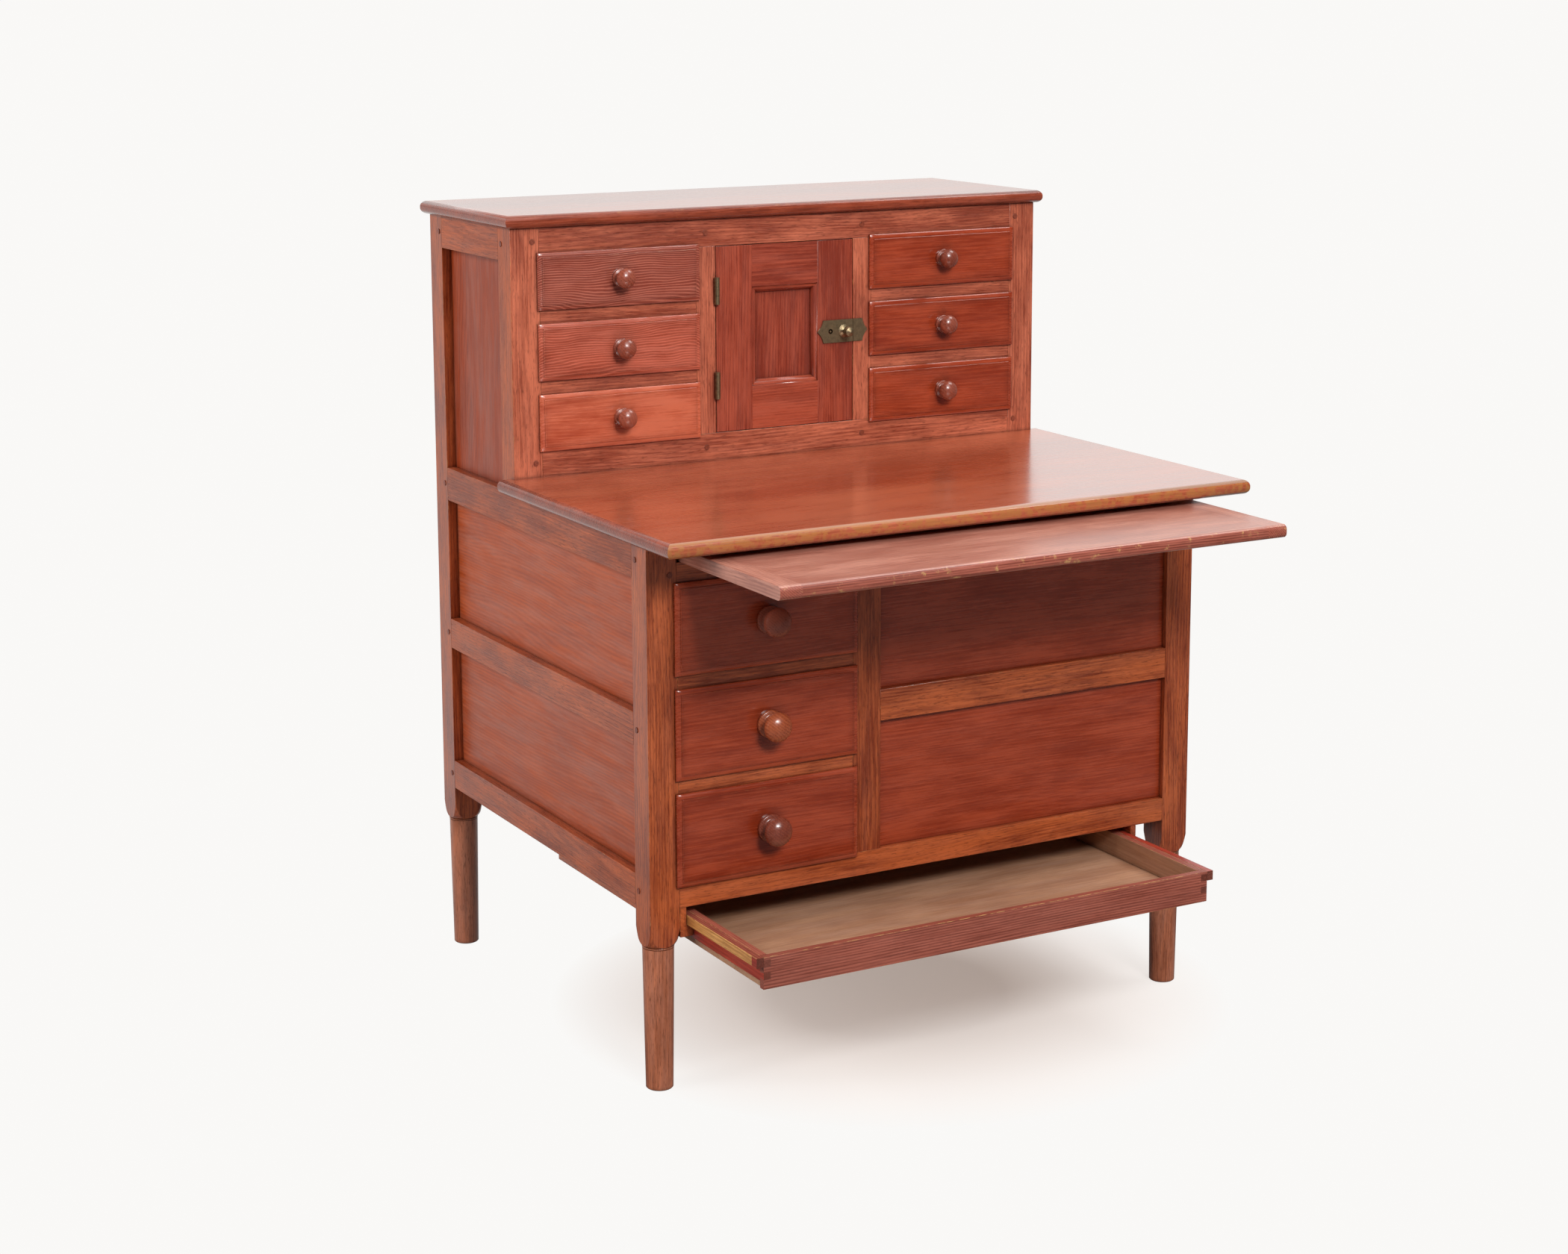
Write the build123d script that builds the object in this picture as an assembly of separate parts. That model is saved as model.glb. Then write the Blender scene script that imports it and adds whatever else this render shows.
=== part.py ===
from build123d import *
import os
from dataclasses import dataclass
from math import asin, cos, radians, sin, sqrt

# Shaker sewing desk: a panelled case on turned legs, with a gallery of small drawers and a cupboard.
#
# Bench frame: X runs to the right from the left legs' outer faces, Y runs back from the front legs' front
# faces, Z runs up from the floor. All sizes are millimetres. write() moves every piece to the desk's own
# origin, which is on the floor under the middle of its outer box.

# ---------------------------------------------------------------- case and legs
case_width = 780.0
case_depth = 632.0
leg_size = 39.0
foot_radius = 16.5
turned_radius = 19.0
ring_z = 175.5
ring_depth = 1.2
ring_height = 3.5
ring_swell = 0.3
pommel_height = 24.0
pommel_knee = 6.0
pommel_share = 0.6

frame_thickness = 22.0
tenon_thickness = 8.0
tenon_length = 20.0
tenon_shoulder = 5.0
panel_thickness = 6.0
panel_tongue = 7.0
panel_room = 1.0
front_panel_recess = 8.0
side_panel_recess = 13.0

# ---------------------------------------------------------------- lower case, from the floor up
case_floor = 225.0
front_bottom_rail = 30.0
front_drawer_heights = (105.0, 101.0, 102.0)
front_drawer_rail = 25.0
front_top_rail = 28.5
slide_slot = 24.0
front_drawer_width = 236.5
mid_stile_width = 39.0
panel_rail_z = 416.0
panel_rail_height = 39.0
side_bottom_rail = 38.0
side_mid_rail_z = 420.0
side_mid_rail = 40.0
side_top_rail = 44.0
back_muntin = 39.0

# ---------------------------------------------------------------- worktop
worktop_thickness = 18.6
worktop_front_overhang = 92.0
worktop_side_overhang = 18.2
worktop_ear = 13.0
worktop_round = 8.4

# ---------------------------------------------------------------- gallery
gallery_depth = 261.0
gallery_post_depth = 38.0
gallery_bottom_rail = 36.0
gallery_drawer_height = 65.0
gallery_drawer_count = 3
gallery_drawer_rail = 24.5
gallery_top_rail = 35.4
gallery_side_rail = 42.0
gallery_drawer_width = 220.0
gallery_stile = 28.0
gallery_top_thickness = 16.7
gallery_top_overhang = 9.0
gallery_top_back = 11.4
gallery_top_round = 7.6
partition_thickness = 12.0
cupboard_floor_thickness = 10.0
floor_tongue = 4.0

# ---------------------------------------------------------------- pegs
peg_across = 6.5
peg_proud = 0.8
peg_length = 18.0
peg_inset = 9.0

# ---------------------------------------------------------------- drawers and their runners
running_gap = 0.3
side_clearance = 0.8
top_clearance = 1.2
runner_ledge = 12.0
runner_depth = 16.0
runner_guide_height = 12.0
case_partition_thickness = 15.0
case_partition_x = 288.0
front_drawer_room = 50.0
side_drawer_room = 25.0
gallery_drawer_room = 13.0
drawer_bottom = 5.0
bottom_groove = 4.0
bottom_height = 8.0
dovetail_slope = 1.0 / 6.0
dovetail_share = 0.55

# ---------------------------------------------------------------- work slide
slide_thickness = 16.0
slide_gap_under = 0.5
slide_side_gap = 4.0
slide_depth = 480.0
slide_front = -240.0
slide_end_width = 28.0
slide_tongue = 8.0
slide_tongue_thickness = 5.0
slide_round = 6.0
guide_height = 21.0
guide_reach = 18.0

# ---------------------------------------------------------------- bottom tray
tray_width = 625.0
tray_length = 549.0
tray_front = -173.0
tray_drop = 10.0
tray_side_height = 30.5
tray_wall = 9.0
tray_bottom_thickness = 8.0
tray_bottom_inset = 2.5
tray_tails = 2
strip_width = 9.0
strip_height = 12.0
hanger_web = 8.4
hanger_web_drop = 5.0
hanger_lip = 14.2
hanger_lip_room = 0.6
hanger_lip_length = 344.0

# ---------------------------------------------------------------- cupboard door
door_gap = 0.8
door_stile = 61.0
door_top_rail = 63.0
door_bottom_rail = 65.0
door_panel_recess = 7.0
door_panel_thickness = 7.0
door_tenon = 30.0
door_moulding = 8.0
door_moulding_depth = 5.0
door_moulding_step = 0.8
door_stop_width = 8.0
door_stop_depth = 10.0

# ---------------------------------------------------------------- door hinges
hinge_length = 35.0
hinge_heights = (782.5, 906.0)
hinge_leaf_depth = 16.0
hinge_leaf_thickness = 1.4
barrel_radius = 3.5
barrel_clear = 0.25
pin_radius = 1.6
pin_clearance = 0.05
knuckle_gap = 0.2
knuckle_share = 1.0 / 3.0

# ---------------------------------------------------------------- latch
latch_height = 842.0
plate_length = 54.0
plate_height = 30.0
plate_thickness = 1.6
plate_point = 9.0
spindle_inset = 13.5
spindle_radius = 2.5
spindle_clearance = 0.05
keyhole_inset = 34.0
keyhole_radius = 3.4
key_pin_radius = 1.3
rosette_radius = 8.5
rosette_thickness = 2.5
latch_neck_radius = 3.2
latch_knob_radius = 7.2
latch_knob_projection = 19.0
lock_case_length = 46.0
lock_case_height = 25.0
lock_case_depth = 9.0
lock_case_wall = 1.2
cam_reach = 6.5
cam_thickness = 2.6
cam_pin_radius = 1.5
cam_half_turn = 25.0
lock_clearance = 0.3
bolt_thickness = 4.0
bolt_height = 7.5
bolt_length = 31.0
bolt_drop = 3.4
keeper_length = 22.0
keeper_thickness = 1.2
keeper_point = 8.0
keeper_pocket = 9.0


@dataclass(frozen=True)
class Knob:
    """A turned knob: a collar against the drawer, a waist and a mushroom head."""

    head_radius: float
    head_depth: float
    collar_radius: float
    collar_thickness: float
    waist_radius: float
    projection: float
    stem_radius: float
    stem_length: float


@dataclass(frozen=True)
class DrawerStyle:
    """How one set of drawers is made."""

    lip_overlap: float
    lip_edge: float
    lip_proud: float
    moulding_width: float
    moulding_fillet: float
    front_thickness: float
    wall: float
    tails: int
    tail_length: float
    knob: Knob


@dataclass(frozen=True)
class Bay:
    """One drawer's place: its opening's bottom middle on the frame's face, with local +Y into the case."""

    name: str
    place: Location
    width: float
    height: float
    depth: float
    style: DrawerStyle
    left_room: float
    right_room: float
    runner_start: float
    runner_end: float


big_knob = Knob(
    head_radius=18.0, head_depth=19.0, collar_radius=17.0, collar_thickness=5.0,
    waist_radius=10.0, projection=33.0, stem_radius=6.0, stem_length=12.0,
)
small_knob = Knob(
    head_radius=13.0, head_depth=14.0, collar_radius=12.0, collar_thickness=3.5,
    waist_radius=7.0, projection=24.5, stem_radius=4.0, stem_length=10.0,
)
case_style = DrawerStyle(
    lip_overlap=4.5, lip_edge=3.4, lip_proud=6.4, moulding_width=6.5, moulding_fillet=0.8,
    front_thickness=17.0, wall=10.0, tails=3, tail_length=10.0, knob=big_knob,
)
gallery_style = DrawerStyle(
    lip_overlap=3.8, lip_edge=3.0, lip_proud=5.8, moulding_width=6.0, moulding_fillet=0.8,
    front_thickness=15.0, wall=8.0, tails=2, tail_length=9.0, knob=small_knob,
)

# ---------------------------------------------------------------- levels and lines that follow
front_rail_top = case_floor + front_bottom_rail
drawer_levels = [
    front_rail_top + sum(front_drawer_heights[:i]) + i * front_drawer_rail
    for i in range(len(front_drawer_heights))
]
front_opening_top = drawer_levels[-1] + front_drawer_heights[-1]
slide_ledge_z = front_opening_top + front_top_rail
carcass_top = slide_ledge_z + slide_slot
worktop_z = carcass_top + worktop_thickness
gallery_floor_z = worktop_z + gallery_bottom_rail
gallery_pitch = gallery_drawer_height + gallery_drawer_rail
gallery_opening = gallery_drawer_count * gallery_pitch - gallery_drawer_rail
gallery_opening_top = gallery_floor_z + gallery_opening
gallery_z = gallery_opening_top + gallery_top_rail
overall_height = gallery_z + gallery_top_thickness

right_leg_x = case_width - leg_size
rear_leg_y = case_depth - leg_size
back_inside = case_depth - frame_thickness
mid_stile_x = leg_size + front_drawer_width
panel_x = mid_stile_x + mid_stile_width
gallery_y = case_depth - gallery_depth
post_back = gallery_y + gallery_post_depth
stile_x = leg_size + gallery_drawer_width
cupboard_x = (stile_x + gallery_stile, case_width - stile_x - gallery_stile)
partition_x = stile_x + (gallery_stile - partition_thickness) / 2
tenon_face = (frame_thickness - tenon_thickness) / 2
side_panel_inside = side_panel_recess + panel_thickness

front_drawer_depth = back_inside - front_drawer_room
side_drawer_depth = case_width - case_partition_x - case_partition_thickness - side_drawer_room
gallery_drawer_depth = back_inside - gallery_y - gallery_drawer_room

slide_z = slide_ledge_z + slide_gap_under
tray_x = leg_size + running_gap + hanger_web + running_gap + strip_width
tray_top = case_floor - tray_drop
tray_base = tray_top - tray_side_height

door_x = (cupboard_x[0] + door_gap, cupboard_x[1] - door_gap)
door_z = (gallery_floor_z + door_gap, gallery_opening_top - door_gap)
door_thickness = frame_thickness - running_gap
hinge_axis = (cupboard_x[0] + door_gap / 2, gallery_y - barrel_radius - barrel_clear)
spindle_x = door_x[1] - spindle_inset
bolt_travel = 2 * cam_reach * sin(radians(cam_half_turn))
bolt_y = gallery_y + running_gap + cam_thickness + running_gap
bolt_z = (latch_height - bolt_drop - bolt_height, latch_height - bolt_drop)

origin = Vector(
    (case_width + case_style.lip_proud + big_knob.projection - worktop_side_overhang) / 2,
    (slide_front + case_depth + gallery_top_back) / 2,
    0,
)

front_wall = Location((0, 0, 0))
left_wall = Location((0, case_depth, 0), (0, 0, -90))
right_wall = Location((case_width, 0, 0), (0, 0, 90))
back_wall = Location((case_width, case_depth, 0), (0, 0, 180))
gallery_wall = Location((0, gallery_y, 0))


# ---------------------------------------------------------------- shared shapes
def block(x, y, z):
    """A board between two values on each axis."""
    middle = [(low + high) / 2 for low, high in (x, y, z)]
    return Pos(*middle) * Box(*(high - low for low, high in (x, y, z)))


def joined(*pieces):
    """One solid from pieces that touch."""
    whole = pieces[0]
    for piece in pieces[1:]:
        whole = whole + piece
    return whole


def cut(host, guests):
    """The host with room taken out for each guest that goes into it."""
    for guest in guests:
        host = host - guest
    return host


def both_sides(piece):
    """A piece and its mirror image about the middle of the case."""
    return [piece, piece.mirror(Plane.YZ.offset(case_width / 2))]


def write(node, *pieces):
    """Write a node's solids, moved to the desk's own origin."""
    solids = [solid.moved(Location(-origin)) for piece in pieces for solid in piece.solids()]
    export_step(Compound(children=solids), f"parts/{node}.step")


def rail(u, z, depth=frame_thickness, reach=tenon_length):
    """A rail of a framed wall, along local X, with a tenon at each end."""
    tenon_z = (z[0] + tenon_shoulder, z[1] - tenon_shoulder)
    tenon_y = (tenon_face, tenon_face + tenon_thickness)
    return joined(
        block(u, (0, depth), z),
        block((u[0] - reach, u[0]), tenon_y, tenon_z),
        block((u[1], u[1] + reach), tenon_y, tenon_z),
    )


def stile(u, z, reach=tenon_length):
    """An upright of a framed wall between two rails, with a tenon at each end."""
    tenon_u = (u[0] + tenon_shoulder, u[1] - tenon_shoulder)
    tenon_y = (tenon_face, tenon_face + tenon_thickness)
    return joined(
        block(u, (0, frame_thickness), z),
        block(tenon_u, tenon_y, (z[0] - reach, z[0])),
        block(tenon_u, tenon_y, (z[1], z[1] + reach)),
    )


def panel(u, z, recess, grow=0.0):
    """A flat panel whose edges stand in grooves round the hole u by z."""
    reach = panel_tongue + grow
    return block(
        (u[0] - reach, u[1] + reach), (recess, recess + panel_thickness), (z[0] - reach, z[1] + reach)
    )


def peg(u, z):
    """An eight-sided pin driven through a joint from the wall's face."""
    shape = RegularPolygon(peg_across / 2, 8, major_radius=False, rotation=22.5)
    return Pos(u, peg_length, z) * Rot(90, 0, 0) * extrude(shape, peg_length + peg_proud)


# ---------------------------------------------------------------- legs and frame
def turned_leg(height):
    """A leg on the Z axis: square above, turned below, with a ring under the square's pommels."""
    corner = leg_size / sqrt(2) + 0.5
    ring_top = ring_z + ring_height
    ring_radius = turned_radius + ring_swell
    outline = Polyline(
        (0, 0), (foot_radius, 0), (turned_radius, ring_z),
        (turned_radius - ring_depth, ring_z + ring_height / 2), (ring_radius, ring_top),
        (ring_radius + pommel_share * (corner - ring_radius), ring_top + pommel_knee),
        (corner, ring_top + pommel_height), (corner, height), (0, height), close=True,
    )
    turned = revolve(Plane.XZ * make_face(outline), Axis.Z)
    half = leg_size / 2
    return turned & block((-half, half), (-half, half), (0, height))


def at_corner(leg, left, front):
    """A leg moved from the Z axis to its corner of the case."""
    half = leg_size / 2
    x = half if left else case_width - half
    y = half if front else case_depth - half
    return Pos(x, y, 0) * leg


def front_frame():
    """The front wall's rails, stile, divider rails and panels, as lists."""
    opening = (leg_size, right_leg_x)
    rails = [
        rail(opening, (case_floor, front_rail_top)),
        rail(opening, (front_opening_top, slide_ledge_z)),
    ]
    mid = stile((mid_stile_x, panel_x), (front_rail_top, front_opening_top), reach=front_top_rail / 2)
    dividers = [
        rail((leg_size, mid_stile_x), (level - front_drawer_rail, level), reach=mid_stile_width / 2 - 1)
        for level in drawer_levels[1:]
    ]
    panel_rail = (panel_rail_z, panel_rail_z + panel_rail_height)
    dividers.append(rail((panel_x, right_leg_x), panel_rail, reach=mid_stile_width / 2 - 1))
    holes = [(front_rail_top, panel_rail[0]), (panel_rail[1], front_opening_top)]
    panels = [panel((panel_x, right_leg_x), z, front_panel_recess) for z in holes]
    slots = [panel((panel_x, right_leg_x), z, front_panel_recess, panel_room) for z in holes]
    return rails, mid, dividers, panels, slots


def left_frame():
    """The left wall's three rails and two panels below the worktop."""
    u = (leg_size, rear_leg_y)
    heights = [
        (case_floor, case_floor + side_bottom_rail),
        (side_mid_rail_z, side_mid_rail_z + side_mid_rail),
        (carcass_top - side_top_rail, carcass_top),
    ]
    rails = [left_wall * rail(u, z) for z in heights]
    holes = [(low[1], high[0]) for low, high in zip(heights, heights[1:])]
    panels = [left_wall * panel(u, z, side_panel_recess) for z in holes]
    slots = [left_wall * panel(u, z, side_panel_recess, panel_room) for z in holes]
    return rails, panels, slots


def right_frame():
    """The right wall's rails, which frame the three wide drawers."""
    u = (leg_size, rear_leg_y)
    tops = [front_rail_top, *drawer_levels[1:]]
    heights = [(case_floor, front_rail_top)]
    heights += [(level - front_drawer_rail, level) for level in tops[1:]]
    heights.append((front_opening_top, carcass_top))
    return [right_wall * rail(u, z) for z in heights]


def back_frame():
    """The back's four rails, a muntin in each of its three tiers, and six panels."""
    u = (leg_size, right_leg_x)
    heights = [
        (case_floor, case_floor + side_bottom_rail),
        (side_mid_rail_z, side_mid_rail_z + side_mid_rail),
        (carcass_top - side_top_rail, worktop_z),
        (gallery_z - gallery_side_rail, gallery_z),
    ]
    rails = [back_wall * rail(u, z) for z in heights]
    middle = case_width / 2
    muntin = (middle - back_muntin / 2, middle + back_muntin / 2)
    muntins, panels, slots = [], [], []
    for low, high in zip(heights, heights[1:]):
        z = (low[1], high[0])
        muntins.append(back_wall * stile(muntin, z, reach=side_mid_rail / 2 - 1))
        for hole in ((u[0], muntin[0]), (muntin[1], u[1])):
            panels.append(back_wall * panel(hole, z, side_panel_recess))
            slots.append(back_wall * panel(hole, z, side_panel_recess, panel_room))
    return rails, muntins, panels, slots


# ---------------------------------------------------------------- gallery
def gallery_front():
    """The gallery face: two long rails, two stiles beside the cupboard and the drawer rails."""
    opening = (leg_size, right_leg_x)
    long_rails = [
        rail(opening, (carcass_top, gallery_floor_z)),
        rail(opening, (gallery_opening_top, gallery_z)),
    ]
    upright = stile((stile_x, cupboard_x[0]), (gallery_floor_z, gallery_opening_top), reach=tenon_length)
    stiles = both_sides(upright)
    short_rails = []
    for i in range(1, gallery_drawer_count):
        level = gallery_floor_z + i * gallery_pitch
        short = rail((leg_size, stile_x), (level - gallery_drawer_rail, level), reach=gallery_stile / 2 - 1)
        short_rails += both_sides(short)
    place = gallery_wall
    return [place * p for p in long_rails], [place * p for p in stiles], [place * p for p in short_rails]


def gallery_side():
    """The left gallery post, its top rail and its panel."""
    post = block((0, leg_size), (gallery_y, post_back), (carcass_top, gallery_z))
    u = (leg_size, case_depth - post_back)
    top_rail = left_wall * rail(u, (gallery_z - gallery_side_rail, gallery_z))
    hole = (carcass_top, gallery_z - gallery_side_rail)
    sheet = left_wall * panel(u, hole, side_panel_recess)
    slot = left_wall * panel(u, hole, side_panel_recess, panel_room)
    return post, top_rail, sheet, slot


def rounded_board(outline, low, thickness, radius, edges_of):
    """A board with its chosen upright edges' arrises rounded to a bullnose."""
    board = Pos(0, 0, low) * extrude(make_face(Polyline(*outline, close=True)), thickness)
    level = [edge for face in (board.faces().sort_by(Axis.Z)[0], board.faces().sort_by(Axis.Z)[-1])
             for edge in face.edges() if edges_of(edge.center())]
    return fillet(level, radius)


def worktop():
    """The worktop, set against the gallery's bottom rail, with ears that end beside the posts."""
    left, right = -worktop_side_overhang, case_width + worktop_side_overhang
    ear = gallery_y + worktop_ear
    outline = [
        (left, -worktop_front_overhang), (right, -worktop_front_overhang), (right, ear),
        (case_width, ear), (case_width, gallery_y), (0, gallery_y), (0, ear), (left, ear),
    ]

    def shows(point):
        """True on the front edge and on the two edges outside the case."""
        return point.Y < 1 - worktop_front_overhang or not -1 < point.X < case_width + 1

    return rounded_board(outline, carcass_top, worktop_thickness, worktop_round, shows)


def gallery_top():
    """The gallery's top board, rounded all round."""
    out = gallery_top_overhang
    low, high = (-out, gallery_y - out), (case_width + out, case_depth + gallery_top_back)
    outline = [low, (high[0], low[1]), high, (low[0], high[1])]
    return rounded_board(outline, gallery_z, gallery_top_thickness, gallery_top_round, lambda point: True)


def gallery_inside():
    """The bed board, two partitions on it with the cupboard floor between, and the door's stop."""
    y = (gallery_y + frame_thickness, back_inside)
    bed = joined(
        block((leg_size, right_leg_x), y, (carcass_top, worktop_z)),
        block((side_panel_inside, case_width - side_panel_inside), (post_back, rear_leg_y),
              (carcass_top, worktop_z)),
    )
    left = block((partition_x, partition_x + partition_thickness), y, (worktop_z, gallery_z))
    sides = both_sides(left)
    floor_x = partition_x + partition_thickness - floor_tongue
    floor = block(
        (floor_x, case_width - floor_x), y, (gallery_floor_z - cupboard_floor_thickness, gallery_floor_z)
    )
    stop = block(
        (cupboard_x[1] - door_stop_width, case_width - partition_x - partition_thickness),
        (gallery_y + frame_thickness, gallery_y + frame_thickness + door_stop_depth),
        (gallery_floor_z, gallery_opening_top),
    )
    return [cut(side, [floor]) for side in sides], bed, floor, stop


# ---------------------------------------------------------------- drawers
def turned_knob(knob):
    """A knob on local -Y, with its eight-sided stem on +Y; its collar seats at y = 0."""
    collar, head, depth = knob.collar_radius, knob.head_radius, knob.head_depth
    neck_y = -(knob.projection - depth)
    waist_y = (neck_y - knob.collar_thickness) / 2
    outline = Polyline(
        (0, 0), (collar, 0), (collar, -0.4 * knob.collar_thickness),
        (0.82 * collar, -knob.collar_thickness), (knob.waist_radius, waist_y),
        (head, neck_y - 0.28 * depth), (0.84 * head, neck_y - 0.76 * depth),
        (0.34 * head, -knob.projection), (0, -knob.projection), close=True,
    )
    stem = Rot(-90, 0, 0) * extrude(RegularPolygon(knob.stem_radius, 8), knob.stem_length)
    return revolve(make_face(outline), Axis.Y) + stem


def mould_section(width, depth, step):
    """The waste of a thumbnail moulding: X runs in from the edge, Y down from the face."""
    outside = 1.0
    drop = depth - step
    radius = (width**2 + drop**2) / (2 * drop)
    turn = asin(width / radius) / 2
    middle = (width - radius * sin(turn), step + radius * (1 - cos(turn)))
    return make_face([
        Polyline((0, depth), (-outside, depth), (-outside, -outside), (width, -outside), (width, step)),
        ThreePointArc((width, step), middle, (0, depth)),
    ])


def mould_cutter(section, length, edge, inward):
    """What a moulding plane takes off along one edge of a face towards -Y, going into the wood `inward`."""
    along = Vector(*inward).cross(Vector(0, 1, 0))
    return extrude(Plane(origin=edge, x_dir=inward, z_dir=along) * section, length / 2, both=True)


def drawer_face(bay):
    """The lipped front with its thumbnail moulding, before its joints are cut."""
    style = bay.style
    half = bay.width / 2
    rim = half + style.lip_overlap
    low, high = -style.lip_overlap, bay.height + style.lip_overlap
    front = -style.lip_proud
    face = joined(
        block((-rim, rim), (front, -running_gap), (low, high)),
        block(
            (side_clearance - half, half - side_clearance),
            (-running_gap, style.front_thickness),
            (running_gap, bay.height - top_clearance),
        ),
    )
    middle = (low + high) / 2
    edges = [
        ((0, front, high), (0, 0, -1)), ((0, front, low), (0, 0, 1)),
        ((-rim, front, middle), (1, 0, 0)), ((rim, front, middle), (-1, 0, 0)),
    ]
    section = mould_section(style.moulding_width, style.lip_proud - style.lip_edge, style.moulding_fillet)
    return cut(face, [mould_cutter(section, 2 * (rim + high), *edge) for edge in edges])


def tails(x, z, count, base, tip):
    """Dovetails on the end of a side board: they widen from the base line to the tip, along Y."""
    pitch = (z[1] - z[0]) / count
    wide = dovetail_share * pitch / 2
    narrow = wide - abs(tip - base) * dovetail_slope
    shapes = []
    for i in range(count):
        middle = z[0] + (i + 0.5) * pitch
        outline = Polyline(
            (base, middle - narrow), (tip, middle - wide), (tip, middle + wide), (base, middle + narrow),
            close=True,
        )
        shapes.append(Pos(x[0], 0, 0) * extrude(Plane.YZ * make_face(outline), x[1] - x[0]))
    return shapes


def drawer(bay):
    """A drawer in its bay's local frame: its front with the knob, and its box."""
    style = bay.style
    outer = bay.width / 2 - side_clearance
    inner = outer - style.wall
    z = (running_gap, bay.height - top_clearance)
    back_y = (bay.depth - style.wall, bay.depth)
    floor_z = (z[0] + bottom_height, z[0] + bottom_height + drawer_bottom)
    floor = block(
        (-inner - bottom_groove, inner + bottom_groove),
        (style.front_thickness - bottom_groove, bay.depth),
        floor_z,
    )
    face = drawer_face(bay)
    sides = []
    for x in ((-outer, -inner), (inner, outer)):
        board = block(x, (style.front_thickness, bay.depth), z)
        base = style.front_thickness
        board = joined(board, *tails(x, z, style.tails, base, base - style.tail_length))
        sides.append(cut(board, [floor]))
    back = block((-inner, inner), back_y, (floor_z[1], z[1]))
    knob = Pos(0, -style.lip_proud, bay.height / 2) * turned_knob(style.knob)
    face = cut(face, [*sides, floor, knob])
    return [face, knob], [*sides, back, floor]


def runner(bay, room, side):
    """The L-shaped bearer on one side of a bay, from the wall that is `room` beyond the opening."""
    half = bay.width / 2
    y = (bay.runner_start, bay.runner_end)
    ledge = block((half - runner_ledge, half + room), y, (-runner_depth, 0))
    guide = block((half, half + room), y, (0, runner_guide_height))
    whole = ledge + guide
    return whole if side > 0 else whole.mirror(Plane.YZ)


def drawer_bays():
    """Every drawer's bay: three in the front, three wide ones in the right side, six in the gallery."""
    names = ("bottom", "middle", "top")
    bays = []
    front_x = leg_size + front_drawer_width / 2
    side_width = rear_leg_y - leg_size
    for name, level, height in zip(names, drawer_levels, front_drawer_heights):
        bays.append(Bay(
            f"front_drawer_{name}", Location((front_x, 0, level)), front_drawer_width, height,
            front_drawer_depth, case_style, leg_size - frame_thickness, case_partition_x - mid_stile_x,
            leg_size, rear_leg_y,
        ))
        bays.append(Bay(
            f"side_drawer_{name}", Location((case_width, case_depth / 2, level), (0, 0, 90)), side_width,
            height, side_drawer_depth, case_style, leg_size - frame_thickness, leg_size - frame_thickness,
            leg_size, case_width - case_partition_x - case_partition_thickness,
        ))
    wall, divider = leg_size - frame_thickness, partition_x - stile_x
    for side, middle, rooms in (
        ("left", leg_size + gallery_drawer_width / 2, (wall, divider)),
        ("right", right_leg_x - gallery_drawer_width / 2, (divider, wall)),
    ):
        for i, name in enumerate(names):
            bays.append(Bay(
                f"gallery_drawer_{side}_{name}",
                Location((middle, gallery_y, gallery_floor_z + i * gallery_pitch)), gallery_drawer_width,
                gallery_drawer_height, gallery_drawer_depth, gallery_style, *rooms, gallery_post_depth,
                rear_leg_y - gallery_y,
            ))
    return bays


# ---------------------------------------------------------------- work slide and bottom tray
def work_slide():
    """The pull-out board with a tongued end at each side, and the guides that carry it."""
    x = (leg_size + slide_side_gap, right_leg_x - slide_side_gap)
    y = (slide_front, slide_front + slide_depth)
    z = (slide_z, slide_z + slide_thickness)
    tongue_z = ((z[0] + z[1] - slide_tongue_thickness) / 2, (z[0] + z[1] + slide_tongue_thickness) / 2)
    inner = (x[0] + slide_end_width, x[1] - slide_end_width)
    board = block(inner, y, z)
    tongues = block(
        (inner[0] - slide_tongue, inner[1] + slide_tongue),
        (y[0] + slide_tongue, y[1] - slide_tongue),
        tongue_z,
    )
    ends = [block((x[0], inner[0]), y, z), block((inner[1], x[1]), y, z)]
    pieces = [joined(board, tongues), *(cut(end, [tongues]) for end in ends)]
    rounded = []
    for piece in pieces:
        front = [edge for edge in piece.edges() if abs(edge.center().Y - y[0]) < 1e-3
                 and abs(edge.tangent_at(0).X) > 0.9]
        rounded.append(fillet(front, slide_round))
    return rounded


def slide_guides():
    """The two L-shaped bearers under and beside the work slide, fixed to the side rails."""
    y = (leg_size, rear_leg_y)
    ledge = block(
        (frame_thickness, leg_size + guide_reach), y, (slide_ledge_z - guide_height, slide_ledge_z)
    )
    edge = leg_size + slide_side_gap - running_gap
    guide = block((frame_thickness, edge), y, (slide_ledge_z, slide_z + slide_thickness))
    return both_sides(ledge + guide)


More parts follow.
